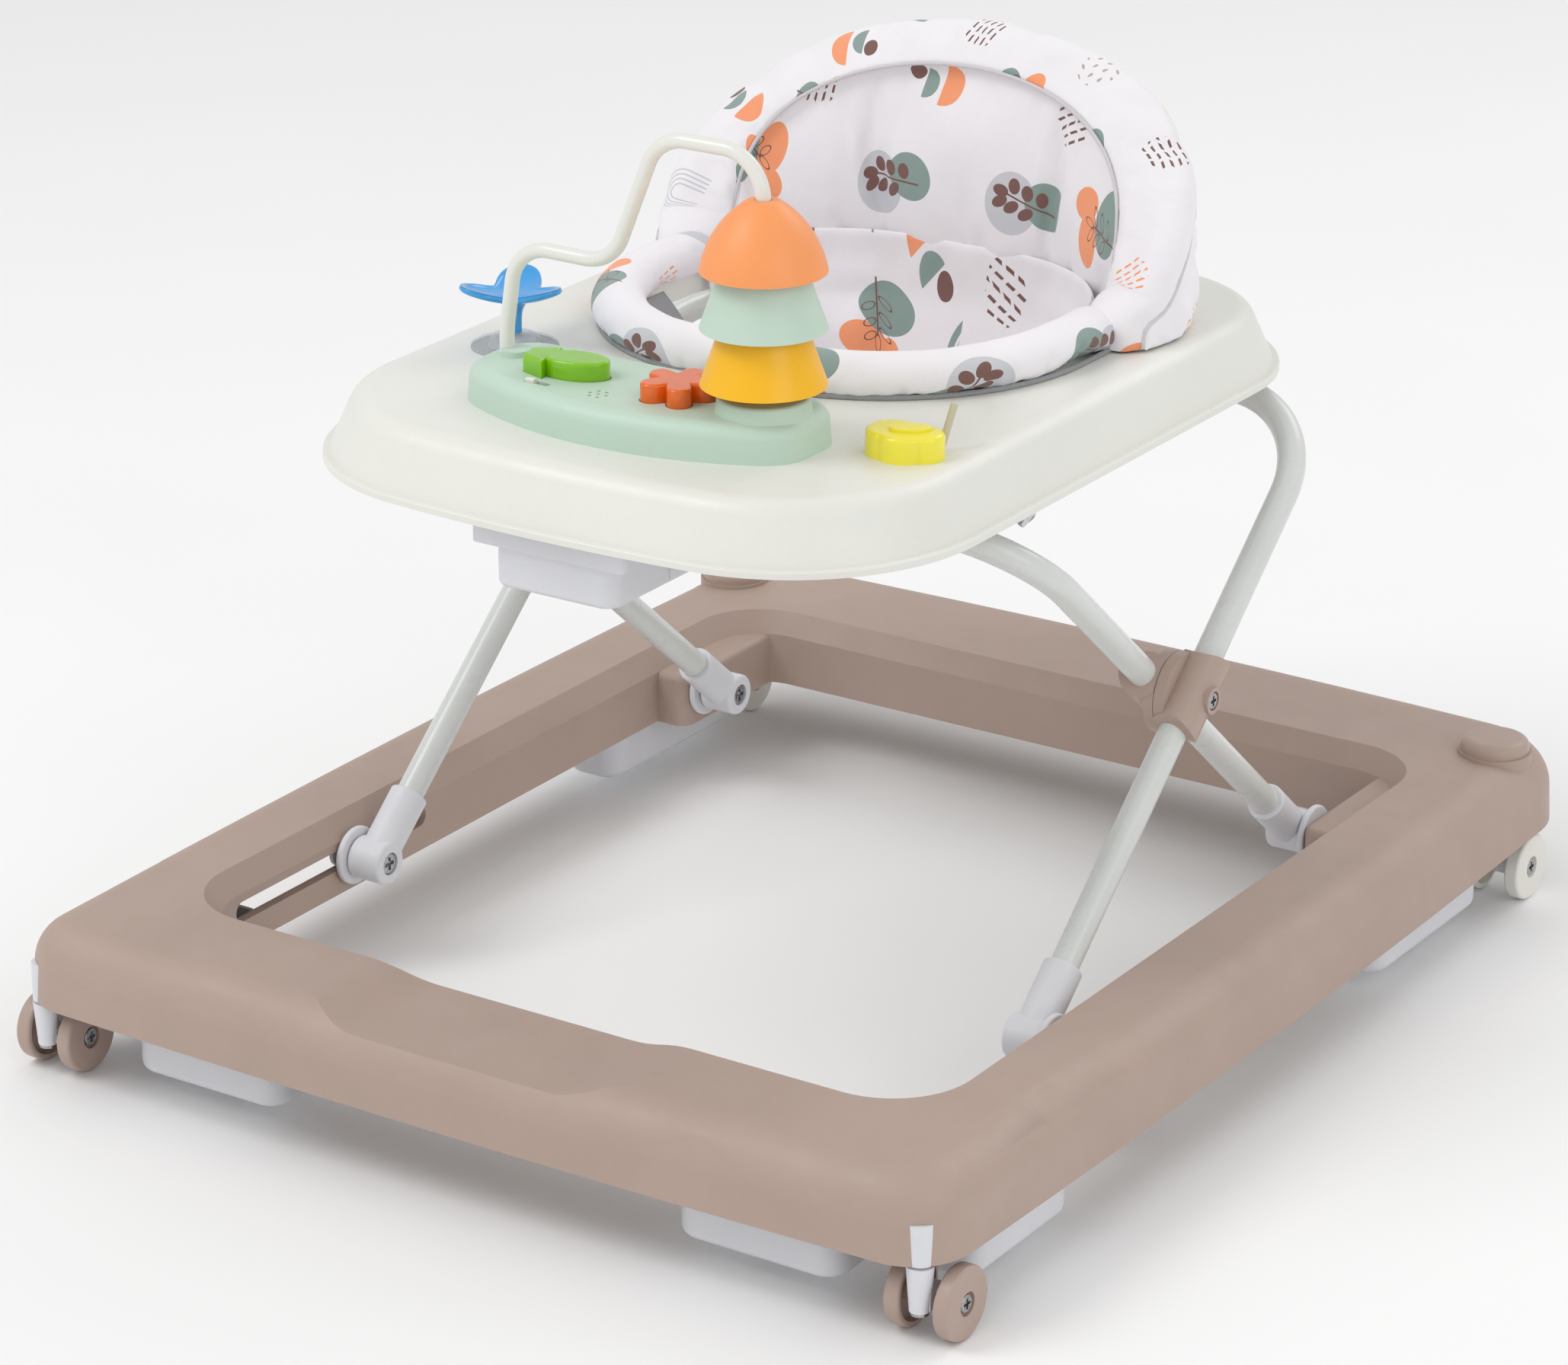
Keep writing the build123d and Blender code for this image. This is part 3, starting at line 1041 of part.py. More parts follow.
def spinner_base():
    """Clear dome and rim ring on the tray."""
    z = TRAY_TOP_Z
    rim = rod_z(SPINNER_X, SPINNER_Y, z, z + 1.6, 24)
    rim = fillet(rim.edges().group_by(Axis.Z)[-1], 0.7)
    dome = rod_z(SPINNER_X, SPINNER_Y, z + 1, z + 7, 16, 12)
    dome = fillet(dome.edges().group_by(Axis.Z)[-1], 4)
    socket_low = z - TRAY_WALL - 4
    body = rim + dome + rod_z(SPINNER_X, SPINNER_Y, socket_low, z + 1, SPINNER_PIN + 1.5 - SEAT_FIT)
    return body - rod_z(SPINNER_X, SPINNER_Y, socket_low - 1, z + 8, SPINNER_PIN + RUN_FIT)


def spinner():
    """Three-lobed paddle on a stem."""
    z = TRAY_TOP_Z
    low = z + SPINNER_RISE
    mid, swing = (SPINNER_REACH + SPINNER_WAIST) / 2, (SPINNER_REACH - SPINNER_WAIST) / 2
    rim = []
    for i in range(48):
        angle = 2 * pi * i / 48
        reach = mid + swing * cos(3 * angle - pi / 2)
        rim.append((reach * cos(angle), reach * sin(angle)))
    paddle = extrude(Pos(0, 0, low) * make_face(Spline(rim, periodic=True)), 4)
    paddle = fillet(paddle.edges().group_by(Axis.Z)[-1], 1.5)
    paddle += rod_z(0, 0, z + 7.6, low, 4.2, 7)
    paddle += rod_z(0, 0, z - TRAY_WALL - 3, z + 8, SPINNER_PIN)
    return Pos(SPINNER_X, SPINNER_Y, 0) * paddle


def fruit_toy():
    """Rounded two-lobed fruit with a notch in its edge, a leaf on top and a peg into the tray."""
    flat = Pos(-8, 1) * Circle(14) + Pos(9, 3) * Circle(11.5) + Pos(0, -3) * Ellipse(14, 12)
    body = extrude(flat, FRUIT_HEIGHT)
    body -= Pos(15, -13, -1) * Rot(0, 0, 35) * extrude(Ellipse(9, 3.5), FRUIT_HEIGHT + 2)
    body = fillet(body.edges().group_by(Axis.Z)[-1], 3)
    leaf = Pos(2, 2, FRUIT_HEIGHT - 1) * Rot(0, 0, 30) * extrude(Ellipse(11, 6), 3)
    body += fillet(leaf.edges().group_by(Axis.Z)[-1], 1)
    body += rod_z(0, 0, -TRAY_WALL - 3, 0, PEG_RADIUS)
    return Pos(FRUIT_X, FRUIT_Y, TRAY_TOP_Z) * body


def fruit_stalk():
    """Short bent stalk behind the fruit."""
    lean = Pos(FRUIT_X + 12, FRUIT_Y + 16.1, TRAY_TOP_Z + FRUIT_HEIGHT * 0.5 - 5) * Rot(-14, 10, 0)
    return lean * Cylinder(2, 24, align=(Align.CENTER, Align.CENTER, Align.MIN))


# ================================================================ all nodes
def make_nodes():
    nodes = {"base_ring": base_ring()}
    for word, side in (("right", 1), ("left", -1)):
        x = side * CASTER_X
        nodes["caster_yoke_" + word] = yoke(x, CASTER_Y, CASTER_TRAIL)
        nodes["caster_pin_" + word] = kingpin(x, CASTER_Y, CASTER_TRAIL)
        nodes["caster_wheels_" + word] = wheel_pair(x, CASTER_Y + CASTER_TRAIL)
        nodes["caster_axle_" + word] = axle(x, CASTER_Y + CASTER_TRAIL)
        x = side * REAR_WHEEL_X
        nodes["rear_wheels_" + word] = wheel_pair(x, REAR_WHEEL_Y)
        nodes["rear_axle_" + word] = axle(x, REAR_WHEEL_Y)
    nodes["slide_tracks"] = [slide_track(side) for side in (1, -1)]
    nodes["corner_caps"] = [corner_cap(side) for side in (1, -1)]
    nodes["rear_pivots"] = [rear_pivot(side) for side in (1, -1)]
    nodes["front_foot_caps"] = [foot_cap(side, FRONT_LEG_X, FRONT_FOOT_Y, 1) for side in (1, -1)]
    nodes["rear_foot_caps"] = [foot_cap(side, REAR_LEG_X, REAR_FOOT_Y, -1) for side in (1, -1)]
    nodes["shoes"] = [shoe(side) for side in (1, -1)]
    nodes["outer_saddles"] = [saddle(side, FRONT_LEG_X, 1, 1) for side in (1, -1)]
    nodes["inner_saddles"] = [saddle(side, REAR_LEG_X, -1, -1) for side in (1, -1)]
    for row in ("front_pads", "side_front_pads", "side_rear_pads"):
        nodes[row] = [stopper_pad(*place[1:]) for place in pad_places() if place[0] == row]
    nodes["pad_screws"] = pad_screws()
    nodes["rear_wheel_yokes"] = [yoke(side * REAR_WHEEL_X, REAR_WHEEL_Y, 0) for side in (1, -1)]
    nodes["rear_wheel_pins"] = [kingpin(side * REAR_WHEEL_X, REAR_WHEEL_Y, 0) for side in (1, -1)]
    bores = [RUN_FIT, RUN_FIT, SEAT_FIT, SEAT_FIT]
    sockets = zip(socket_places(), bores)
    nodes["wheel_sockets"] = [socket(x, y, KINGPIN_RADIUS + fit) for (x, y), fit in sockets]
    nodes["front_leg_frame"] = leg_frame(FRONT_FOOT_Y, 1, FRONT_LEG_X, SEAT_FIT)
    nodes["rear_leg_frame"] = leg_frame(REAR_FOOT_Y, -1, REAR_LEG_X, RUN_FIT)
    nodes["shoe_retainers"] = [shoe_retainer(side) for side in (1, -1)]
    nodes["front_pivot_screws"] = pivot_screws(FRONT_LEG_X, FRONT_FOOT_Y)
    nodes["rear_pivot_screws"] = pivot_screws(REAR_LEG_X, REAR_FOOT_Y)
    nodes["cross_bolts"] = [cross_bolt(side) for side in (1, -1)]
    nodes["tray_shell"] = tray_shell()
    nodes["bar_brackets"] = [bar_bracket(side) for side in (1, -1)]
    nodes["bar_clips"] = [bar_clip(side) for side in (1, -1)]
    nodes["tray_screws"] = clip_screws() + console_screws()
    nodes["adjuster_housing"] = adjuster_housing()
    nodes["latch_plate"] = latch_plate()
    nodes["latch_spring"] = latch_spring()
    nodes["seat_roll"] = seat_roll()
    nodes["seat_sling"] = seat_sling()
    nodes["backrest"] = backrest()
    nodes["console_lid"] = console_lid()
    nodes["console_base"] = console_base()
    nodes["circuit_board"] = circuit_board()
    nodes["speaker"] = speaker()
    nodes["battery_cells"] = battery_cells()
    nodes["slide_switch"] = slide_switch()
    nodes["fish_key"] = button(fish_outline(0), fish_outline(1.6))
    nodes["star_key"] = button(star_outline(0), star_outline(1.6))
    nodes["toy_wire"] = toy_wire()
    for level, colour in enumerate(("yellow", "mint", "orange")):
        nodes["cone_" + colour] = cone(level, colour == "orange")
    nodes["spinner_base"] = spinner_base()
    nodes["spinner"] = spinner()
    nodes["fruit_toy"] = fruit_toy()
    nodes["fruit_stalk"] = fruit_stalk()
    return nodes


os.makedirs("parts", exist_ok=True)
for node, shape in make_nodes().items():
    solids = shape if isinstance(shape, list) else [shape]
    export_step(Compound(children=solids), os.path.join("parts", node + ".step"))
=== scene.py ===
"""Baby walker: materials, sewn soft goods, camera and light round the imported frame.

Metres, +Z up, -Y to the front.
"""
import math

import bmesh
import bpy
import numpy as np
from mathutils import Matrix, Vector


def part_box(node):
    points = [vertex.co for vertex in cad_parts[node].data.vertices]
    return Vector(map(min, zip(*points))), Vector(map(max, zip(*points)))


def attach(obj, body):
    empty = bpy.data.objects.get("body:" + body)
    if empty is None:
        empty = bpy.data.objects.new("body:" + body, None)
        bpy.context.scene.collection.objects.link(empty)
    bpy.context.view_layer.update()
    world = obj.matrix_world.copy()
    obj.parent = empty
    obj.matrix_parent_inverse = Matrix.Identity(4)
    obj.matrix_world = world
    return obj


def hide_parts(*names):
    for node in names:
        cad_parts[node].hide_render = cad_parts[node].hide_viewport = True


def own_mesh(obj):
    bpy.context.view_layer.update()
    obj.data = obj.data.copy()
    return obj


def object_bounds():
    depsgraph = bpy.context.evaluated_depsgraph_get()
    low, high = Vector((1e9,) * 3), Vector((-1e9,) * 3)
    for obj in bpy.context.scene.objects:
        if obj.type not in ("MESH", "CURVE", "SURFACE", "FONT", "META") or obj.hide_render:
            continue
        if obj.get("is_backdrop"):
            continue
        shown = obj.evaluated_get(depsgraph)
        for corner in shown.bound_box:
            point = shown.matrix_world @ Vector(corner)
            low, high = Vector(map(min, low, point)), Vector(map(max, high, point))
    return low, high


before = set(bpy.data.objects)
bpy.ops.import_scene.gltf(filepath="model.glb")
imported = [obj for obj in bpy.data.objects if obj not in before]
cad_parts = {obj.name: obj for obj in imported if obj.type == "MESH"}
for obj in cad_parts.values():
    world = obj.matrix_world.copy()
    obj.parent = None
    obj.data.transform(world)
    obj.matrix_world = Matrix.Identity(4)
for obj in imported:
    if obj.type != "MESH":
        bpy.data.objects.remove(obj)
cad_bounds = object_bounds()
MM = 0.001


# ================================================================ colours
def srgb(red, green, blue):
    """A colour given as 0 to 255 sRGB, for a shader."""
    parts = []
    for level in (red, green, blue):
        share = level / 255
        parts.append(share / 12.92 if share <= 0.04045 else ((share + 0.055) / 1.055) ** 2.4)
    return (*parts, 1.0)


TAUPE = srgb(181, 159, 147)
COOL_WHITE = srgb(226, 227, 232)
WARM_WHITE = srgb(233, 233, 226)
TUBE_PAINT = srgb(217, 220, 217)
CREAM = srgb(236, 234, 226)
MINT = srgb(196, 219, 203)
ORANGE = srgb(252, 160, 96)
YELLOW = srgb(253, 190, 16)
GREEN = srgb(140, 208, 16)
STAR_ORANGE = srgb(250, 112, 12)
BLUE = srgb(45, 160, 232)
LEMON = srgb(250, 238, 62)
BEIGE = srgb(205, 198, 172)
CLOTH_WHITE = srgb(242, 239, 243)
PRINT_ORANGE = srgb(247, 158, 113)
PRINT_SAGE = srgb(137, 158, 152)
PRINT_BROWN = srgb(122, 86, 80)
PRINT_GREY = srgb(203, 205, 211)
PRINT_SAND = srgb(186, 172, 158)
BINDING_GREY = srgb(168, 170, 173)


# ================================================================ shader helpers
class Term:
    """A number in a shader, so that a pattern can be written as a formula."""

    def __init__(self, tree, value):
        self.tree = tree
        self.value = value

    def apply(self, operation, *others):
        node = self.tree.nodes.new("ShaderNodeMath")
        node.operation = operation
        for socket, term in zip(node.inputs, (self, *others)):
            plug(self.tree, term, socket)
        return Term(self.tree, node.outputs[0])

    def __add__(self, other):
        return self.apply("ADD", other)

    def __sub__(self, other):
        return self.apply("SUBTRACT", other)

    def __mul__(self, other):
        return self.apply("MULTIPLY", other)

    def __truediv__(self, other):
        return self.apply("DIVIDE", other)

    def below(self, other):
        return self.apply("LESS_THAN", other)

    def above(self, other):
        return self.apply("GREATER_THAN", other)

    def within(self, low, high):
        return self.above(low) * self.below(high)

    def size(self):
        return self.apply("ABSOLUTE")


def plug(tree, term, socket):
    """Links a term or a socket to an input, or sets the input to a plain value."""
    value = term.value if isinstance(term, Term) else term
    if isinstance(value, bpy.types.NodeSocket):
        tree.links.new(value, socket)
    else:
        socket.default_value = value


def hypotenuse(x, y):
    return (x * x + y * y).apply("SQRT")


def new_material(name):
    material = bpy.data.materials.new(name)
    material.use_nodes = True
    tree = material.node_tree
    return material, tree, tree.nodes["Principled BSDF"]


def place(tree, kind="Object"):
    return tree.nodes.new("ShaderNodeTexCoord").outputs[kind]


def stretched(tree, vector, scale):
    node = tree.nodes.new("ShaderNodeMapping")
    tree.links.new(vector, node.inputs["Vector"])
    node.inputs["Scale"].default_value = scale
    return node.outputs[0]


def noise(tree, vector, scale, detail=3.0, distortion=0.0):
    node = tree.nodes.new("ShaderNodeTexNoise")
    tree.links.new(vector, node.inputs["Vector"])
    node.inputs["Scale"].default_value = scale
    node.inputs["Detail"].default_value = detail
    node.inputs["Distortion"].default_value = distortion
    return Term(tree, node.outputs["Fac"])


def spread(tree, term, low, high):
    """Turns a 0.3 to 0.7 noise into the range low to high."""
    node = tree.nodes.new("ShaderNodeMapRange")
    plug(tree, term, node.inputs["Value"])
    node.inputs["From Min"].default_value = 0.3
    node.inputs["From Max"].default_value = 0.7
    node.inputs["To Min"].default_value = low
    node.inputs["To Max"].default_value = high
    return node.outputs["Result"]


def mix(tree, share, first, second):
    node = tree.nodes.new("ShaderNodeMix")
    node.data_type = "RGBA"
    plug(tree, share, node.inputs["Factor"])
    plug(tree, first, node.inputs[6])
    plug(tree, second, node.inputs[7])
    return node.outputs[2]


def bump(tree, height, distance, strength=1.0, under=None):
    node = tree.nodes.new("ShaderNodeBump")
    plug(tree, height, node.inputs["Height"])
    node.inputs["Distance"].default_value = distance
    node.inputs["Strength"].default_value = strength
    if under is not None:
        tree.links.new(under, node.inputs["Normal"])
    return node.outputs["Normal"]


def darker(colour, share):
    return (*(part * share for part in colour[:3]), 1.0)


def drifting(tree, vector, scale, colour, share, detail=3.0):
    """The colour with slow patches that are darker by the share."""
    patches = Term(tree, spread(tree, noise(tree, vector, scale, detail), 0.0, 1.0))
    return mix(tree, patches, darker(colour, share), colour)


# ================================================================ hard materials
def plastic(name, colour, roughness=0.42, grain=0.00006, wave=0.0, drift=0.93, coat=0.0):
    """Moulded plastic: slow colour drift, uneven gloss, fine grain and, when blown, slow waves."""
    material, tree, shader = new_material(name)
    spot = place(tree)
    fine = noise(tree, spot, 260.0, 5.0)
    shade = drifting(tree, spot, 14.0, colour, drift, 4.0)
    speck = mix(tree, Term(tree, spread(tree, fine, 0.0, 0.10)), shade, darker(colour, 0.86))
    tree.links.new(speck, shader.inputs["Base Color"])
    gloss = noise(tree, spot, 45.0, 4.0)
    tree.links.new(spread(tree, gloss, roughness - 0.06, roughness + 0.07), shader.inputs["Roughness"])
    normal = bump(tree, noise(tree, spot, 1400.0, 2.0), grain * 2, 0.6)
    if wave:
        long_wave = noise(tree, stretched(tree, spot, (1.0, 1.0, 0.45)), 13.0, 1.5, 0.4)
        normal = bump(tree, long_wave, wave, 1.0, normal)
    tree.links.new(normal, shader.inputs["Normal"])
    shader.inputs["Coat Weight"].default_value = coat
    shader.inputs["Coat Roughness"].default_value = 0.12
    shader.inputs["IOR"].default_value = 1.49
    return material


def painted_tube(name, colour):
    """Powder coat on steel: glossy, with a slight orange peel."""
    material, tree, shader = new_material(name)
    spot = place(tree)
    shade = drifting(tree, spot, 18.0, colour, 0.95)
    tree.links.new(shade, shader.inputs["Base Color"])
    tree.links.new(spread(tree, noise(tree, spot, 60.0), 0.26, 0.32), shader.inputs["Roughness"])
    peel = bump(tree, noise(tree, spot, 420.0, 2.0), 0.00004, 0.5)
    tree.links.new(peel, shader.inputs["Normal"])
    shader.inputs["Coat Weight"].default_value = 0.35
    shader.inputs["Coat Roughness"].default_value = 0.1
    return material


def plated_steel(name):
    """Zinc-plated steel with fine turning marks."""
    material, tree, shader = new_material(name)
    spot = place(tree)
    marks = noise(tree, stretched(tree, spot, (9.0, 1.0, 1.0)), 700.0, 3.0)
    shade = mix(tree, Term(tree, spread(tree, marks, 0.0, 1.0)), srgb(150, 150, 152), srgb(196, 196, 198))
    tree.links.new(shade, shader.inputs["Base Color"])
    shader.inputs["Metallic"].default_value = 1.0
    tree.links.new(spread(tree, marks, 0.22, 0.38), shader.inputs["Roughness"])
    tree.links.new(bump(tree, marks, 0.00005, 0.6), shader.inputs["Normal"])
    return material


def tinted_clear(name, colour, clearness, roughness, see_through=1.0):
    """Clear plastic with a tint, moulded with faint flow lines."""
    material, tree, shader = new_material(name)
    spot = place(tree)
    flow = noise(tree, spot, 70.0, 3.0, 0.8)
    shade = mix(tree, Term(tree, spread(tree, flow, 0.0, 1.0)), darker(colour, 0.88), colour)
    tree.links.new(shade, shader.inputs["Base Color"])
    tree.links.new(spread(tree, flow, roughness, roughness + 0.08), shader.inputs["Roughness"])
    tree.links.new(bump(tree, flow, 0.0004, 0.5), shader.inputs["Normal"])
    shader.inputs["Transmission Weight"].default_value = clearness
    shader.inputs["Subsurface Weight"].default_value = 0.35
    shader.inputs["Subsurface Radius"].default_value = (1.0, 1.0, 1.0)
    shader.inputs["Subsurface Scale"].default_value = 0.012
    shader.inputs["Alpha"].default_value = see_through
    shader.inputs["Coat Weight"].default_value = 0.5
    shader.inputs["Coat Roughness"].default_value = 0.05
    shader.inputs["IOR"].default_value = 1.47
    return material


# ================================================================ printed cloth
MOTIF_PITCH = 90 * MM
MOTIF_SCALE = 1.2


def cell_middles(tree, uv, cell, shift, jitter):
    """Splits cloth into cells. Gives x, y from each cell's middle in motif units, and two random numbers."""
    moved = tree.nodes.new("ShaderNodeVectorMath")
    moved.operation = "ADD"
    tree.links.new(uv, moved.inputs[0])
    moved.inputs[1].default_value = (shift, shift, 0.0)
    cells = tree.nodes.new("ShaderNodeTexVoronoi")
    cells.voronoi_dimensions = "2D"
    cells.inputs["Scale"].default_value = 1.0 / cell
    cells.inputs["Randomness"].default_value = jitter
    tree.links.new(moved.outputs[0], cells.inputs["Vector"])
    offset = tree.nodes.new("ShaderNodeVectorMath")
    offset.operation = "SUBTRACT"
    tree.links.new(moved.outputs[0], offset.inputs[0])
    tree.links.new(cells.outputs["Position"], offset.inputs[1])
    parts = tree.nodes.new("ShaderNodeSeparateXYZ")
    tree.links.new(offset.outputs[0], parts.inputs[0])
    chance = tree.nodes.new("ShaderNodeSeparateColor")
    tree.links.new(cells.outputs["Color"], chance.inputs[0])
    turn = Term(tree, chance.outputs[1]) * (2 * math.pi)
    x = Term(tree, parts.outputs[0]) * (1 / MOTIF_SCALE / MM)
    y = Term(tree, parts.outputs[1]) * (1 / MOTIF_SCALE / MM)
    cosine = turn.apply("COSINE")
    sine = turn.apply("SINE")
    kind, tone = Term(tree, chance.outputs[0]), Term(tree, chance.outputs[2])
    return x * cosine + y * sine, y * cosine - x * sine, kind, tone


def arches(x, y, bands):
    """Masks of concentric arches that stand on straight legs."""
    reach = hypotenuse(x, y.apply("MAXIMUM", 0.0))
    legs = y.above(-11.0)
    return [reach.within(low, high) * legs for low, high in bands]


def ellipse(x, y, middle_x, middle_y, half_x, half_y):
    """Distance from an ellipse's middle, 1 at its edge."""
    return hypotenuse((x - middle_x) / half_x, (y - middle_y) / half_y)


def sprig(x, y, reach, half_length, half_width, hollow):
    """A stem with three leaves on each side and one at its tip, filled or outlined."""
    leaves = [(0.0, 14.5, 90.0)]
    for rise, side in ((-9.0, 1), (-5.0, -1), (-1.0, 1), (3.0, -1), (6.5, 1), (9.5, -1)):
        leaves.append((side * reach, rise + reach * 0.6, 90.0 - side * 55.0))
    shape = x.size().below(0.45) * y.within(-16.0, 11.0)
    for middle_x, middle_y, turn in leaves:
        cosine, sine = math.cos(math.radians(turn)), math.sin(math.radians(turn))
        along = (x - middle_x) * cosine + (y - middle_y) * sine
        across = (y - middle_y) * cosine - (x - middle_x) * sine
        pointed = hypotenuse(along / half_length, across / half_width)
        leaf = pointed.within(0.84, 1.06) if hollow else pointed.below(1.0)
        shape = shape.apply("MAXIMUM", leaf)
    return shape


def dashes(x, y):
    """Short strokes in loose rows."""
    column = (x + 40.0).apply("MODULO", 4.2) - 2.1
    stagger = (x * 0.9).apply("SINE") * 1.2
    row = (y + 42.0 + stagger).apply("MODULO", 6.6) - 3.3
    stroke = column.size().below(0.65) * row.size().below(2.2)
    return stroke * hypotenuse(x, y).below(11.5)


def dots(x, y):
    column = (x + 42.0).apply("MODULO", 6.0) - 3.0
    row = (y + 42.0 + (x * 0.7).apply("SINE") * 1.6).apply("MODULO", 6.4) - 3.2
    return hypotenuse(column, row).below(1.15) * hypotenuse(x, y).below(11.0)


def large_motifs(x, y, kind):
    """Masks and colours of the large motifs, of which each cell shows one."""
    painted = []
    colours = (PRINT_ORANGE, PRINT_BROWN, PRINT_GREY, PRINT_SAGE)
    bow = kind.below(0.34)
    for mask, colour in zip(arches(x, y, ((7.0, 11.0), (12.6, 16.2), (17.8, 20.8), (22.2, 25.8))), colours):
        painted.append((mask * bow, colour))
    bean = kind.within(0.34, 0.68)
    body = ellipse(x, y, -7.0, 8.5, 13.0, 8.5).below(1.0)
    knob = ellipse(x, y, 8.0, 13.0, 7.5, 10.0).below(1.0)
    painted.append((body.apply("MAXIMUM", knob) * bean, PRINT_ORANGE))
    painted.append((ellipse(x, y, 3.0, -9.0, 15.5, 11.5).below(1.0) * bean, PRINT_SAGE))
    painted.append((sprig(x + y * -0.25 + 1.0, y * 1.1 + 6.0, 4.6, 4.4, 1.7, True) * bean, PRINT_BROWN))
    berry = kind.above(0.68)
    painted.append((ellipse(x, y, -5.0, 7.0, 15.0, 14.0).below(1.0) * berry, PRINT_GREY))
    painted.append((ellipse(x, y, 5.0, -10.0, 11.0, 12.5).below(1.0) * berry, PRINT_SAGE))
    painted.append((sprig(x + y * 0.2, y, 5.0, 4.0, 2.9, False) * berry, PRINT_BROWN))
    return painted


def small_motifs(x, y, kind, tone):
    """Masks and colours of the small motifs between the large ones."""
    bowls = kind.below(0.3)
    upper = hypotenuse(x, y - 4.0).below(11.0) * y.above(4.0)
    lower = hypotenuse(x - 3.0, y + 6.0).below(7.5) * y.above(-6.0) * y.below(2.8)
    ball = hypotenuse(x + 1.0, y + 11.5).below(4.6)
    rows = kind.within(0.3, 0.62)
    strokes = dashes(x, y) * rows
    spots = kind.within(0.62, 0.84)
    lines = kind.above(0.84)
    painted = [
        (upper * bowls, PRINT_ORANGE),
        (lower * bowls, PRINT_SAGE),
        (ball * bowls, PRINT_BROWN),
        (strokes * tone.below(0.5), PRINT_BROWN),
        (strokes * tone.above(0.5), PRINT_ORANGE),
        (dots(x, y) * spots, PRINT_SAND),
    ]
    for mask in arches(x, y, ((4.0, 4.9), (6.6, 7.5), (9.2, 10.1), (11.8, 12.7))):
        painted.append((mask * lines, PRINT_GREY))
    return painted


def woven(tree, uv, pitch):
    """Height of a plain weave of that pitch."""
    parts = tree.nodes.new("ShaderNodeSeparateXYZ")
    tree.links.new(uv, parts.inputs[0])
    across = (Term(tree, parts.outputs[0]) * (2 * math.pi / pitch)).apply("SINE")
    along = (Term(tree, parts.outputs[1]) * (2 * math.pi / pitch)).apply("SINE")
    return across * along


def printed_cloth(name):
    """White woven polyester with a print of abstract motifs."""
    material, tree, shader = new_material(name)
    uv = place(tree, "UV")
    cloth = drifting(tree, uv, 30.0, CLOTH_WHITE, 0.97)
    x, y, kind, _ = cell_middles(tree, uv, MOTIF_PITCH, 0.3, 0.28)
    painted = large_motifs(x, y, kind)
    x, y, kind, tone = cell_middles(tree, uv, MOTIF_PITCH, 0.3 + MOTIF_PITCH / 2, 0.28)
    painted += small_motifs(x, y, kind, tone)
    for mask, colour in painted:
        cloth = mix(tree, mask, cloth, colour)
    tree.links.new(cloth, shader.inputs["Base Color"])
    shader.inputs["Roughness"].default_value = 0.78
    shader.inputs["Sheen Weight"].default_value = 0.25
    shader.inputs["Sheen Roughness"].default_value = 0.5
    weave = bump(tree, woven(tree, uv, 0.9 * MM), 0.00006, 0.5)
    folds = bump(tree, noise(tree, stretched(tree, uv, (1.0, 0.55, 1.0)), 34.0, 2.5, 0.6), 0.0022, 0.8, weave)
    tree.links.new(folds, shader.inputs["Normal"])
    return material


def webbing(name, colour, rib):
    """Woven tape with ribs along it, with painted shade in the dips between the ribs."""
    material, tree, shader = new_material(name)
    uv = place(tree, "UV")
    ribs = woven(tree, uv, rib)
    # Painted shade: the colour darkens where the weave dips, between the ribs.
    shade = mix(tree, ribs * 0.5 + 0.5, darker(colour, 0.78), colour)
    tree.links.new(shade, shader.inputs["Base Color"])
    shader.inputs["Roughness"].default_value = 0.72
    shader.inputs["Sheen Weight"].default_value = 0.2
    tree.links.new(bump(tree, ribs, 0.0003, 0.8), shader.inputs["Normal"])
    return material


# ================================================================ paint the CAD pieces
def paint(material, *nodes):
    for node in nodes:
        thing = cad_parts[node]
        thing.data.materials.clear()
        thing.data.materials.append(material)


def paired(name):
    return (name + "_right", name + "_left")


def paint_frame():
    base = plastic("taupe_blown", TAUPE, 0.52, 0.00008, 0.0035)
    paint(base, "base_ring")
    moulded = plastic("taupe_moulded", TAUPE, 0.4)
    paint(moulded, "corner_caps", "inner_saddles", "outer_saddles", "slide_tracks", *paired("caster_wheels"))
    white = plastic("white_moulded", COOL_WHITE, 0.42)
    paint(white, "front_pads", "side_front_pads", "side_rear_pads", "adjuster_housing", "latch_plate")
    paint(white, "rear_pivots", "shoes", "shoe_retainers", "bar_brackets", "bar_clips", "wheel_sockets")
    paint(white, "rear_wheel_yokes", "front_foot_caps", "rear_foot_caps", *paired("caster_yoke"))
    paint(plastic("cream_moulded", CREAM, 0.4), "slide_switch", *paired("rear_wheels"))
    paint(plastic("tray_moulded", WARM_WHITE, 0.38, 0.00005, 0.0004, 0.97), "tray_shell")
    paint(painted_tube("tube_paint", TUBE_PAINT), "front_leg_frame", "rear_leg_frame")
    steel = plated_steel("plated_steel")
    paint(steel, "pad_screws", "rear_wheel_pins", "rear_pivot_screws", "front_pivot_screws", "cross_bolts")
    paint(steel, "tray_screws", "latch_spring")
    paint(steel, *paired("caster_pin"), *paired("caster_axle"), *paired("rear_axle"))


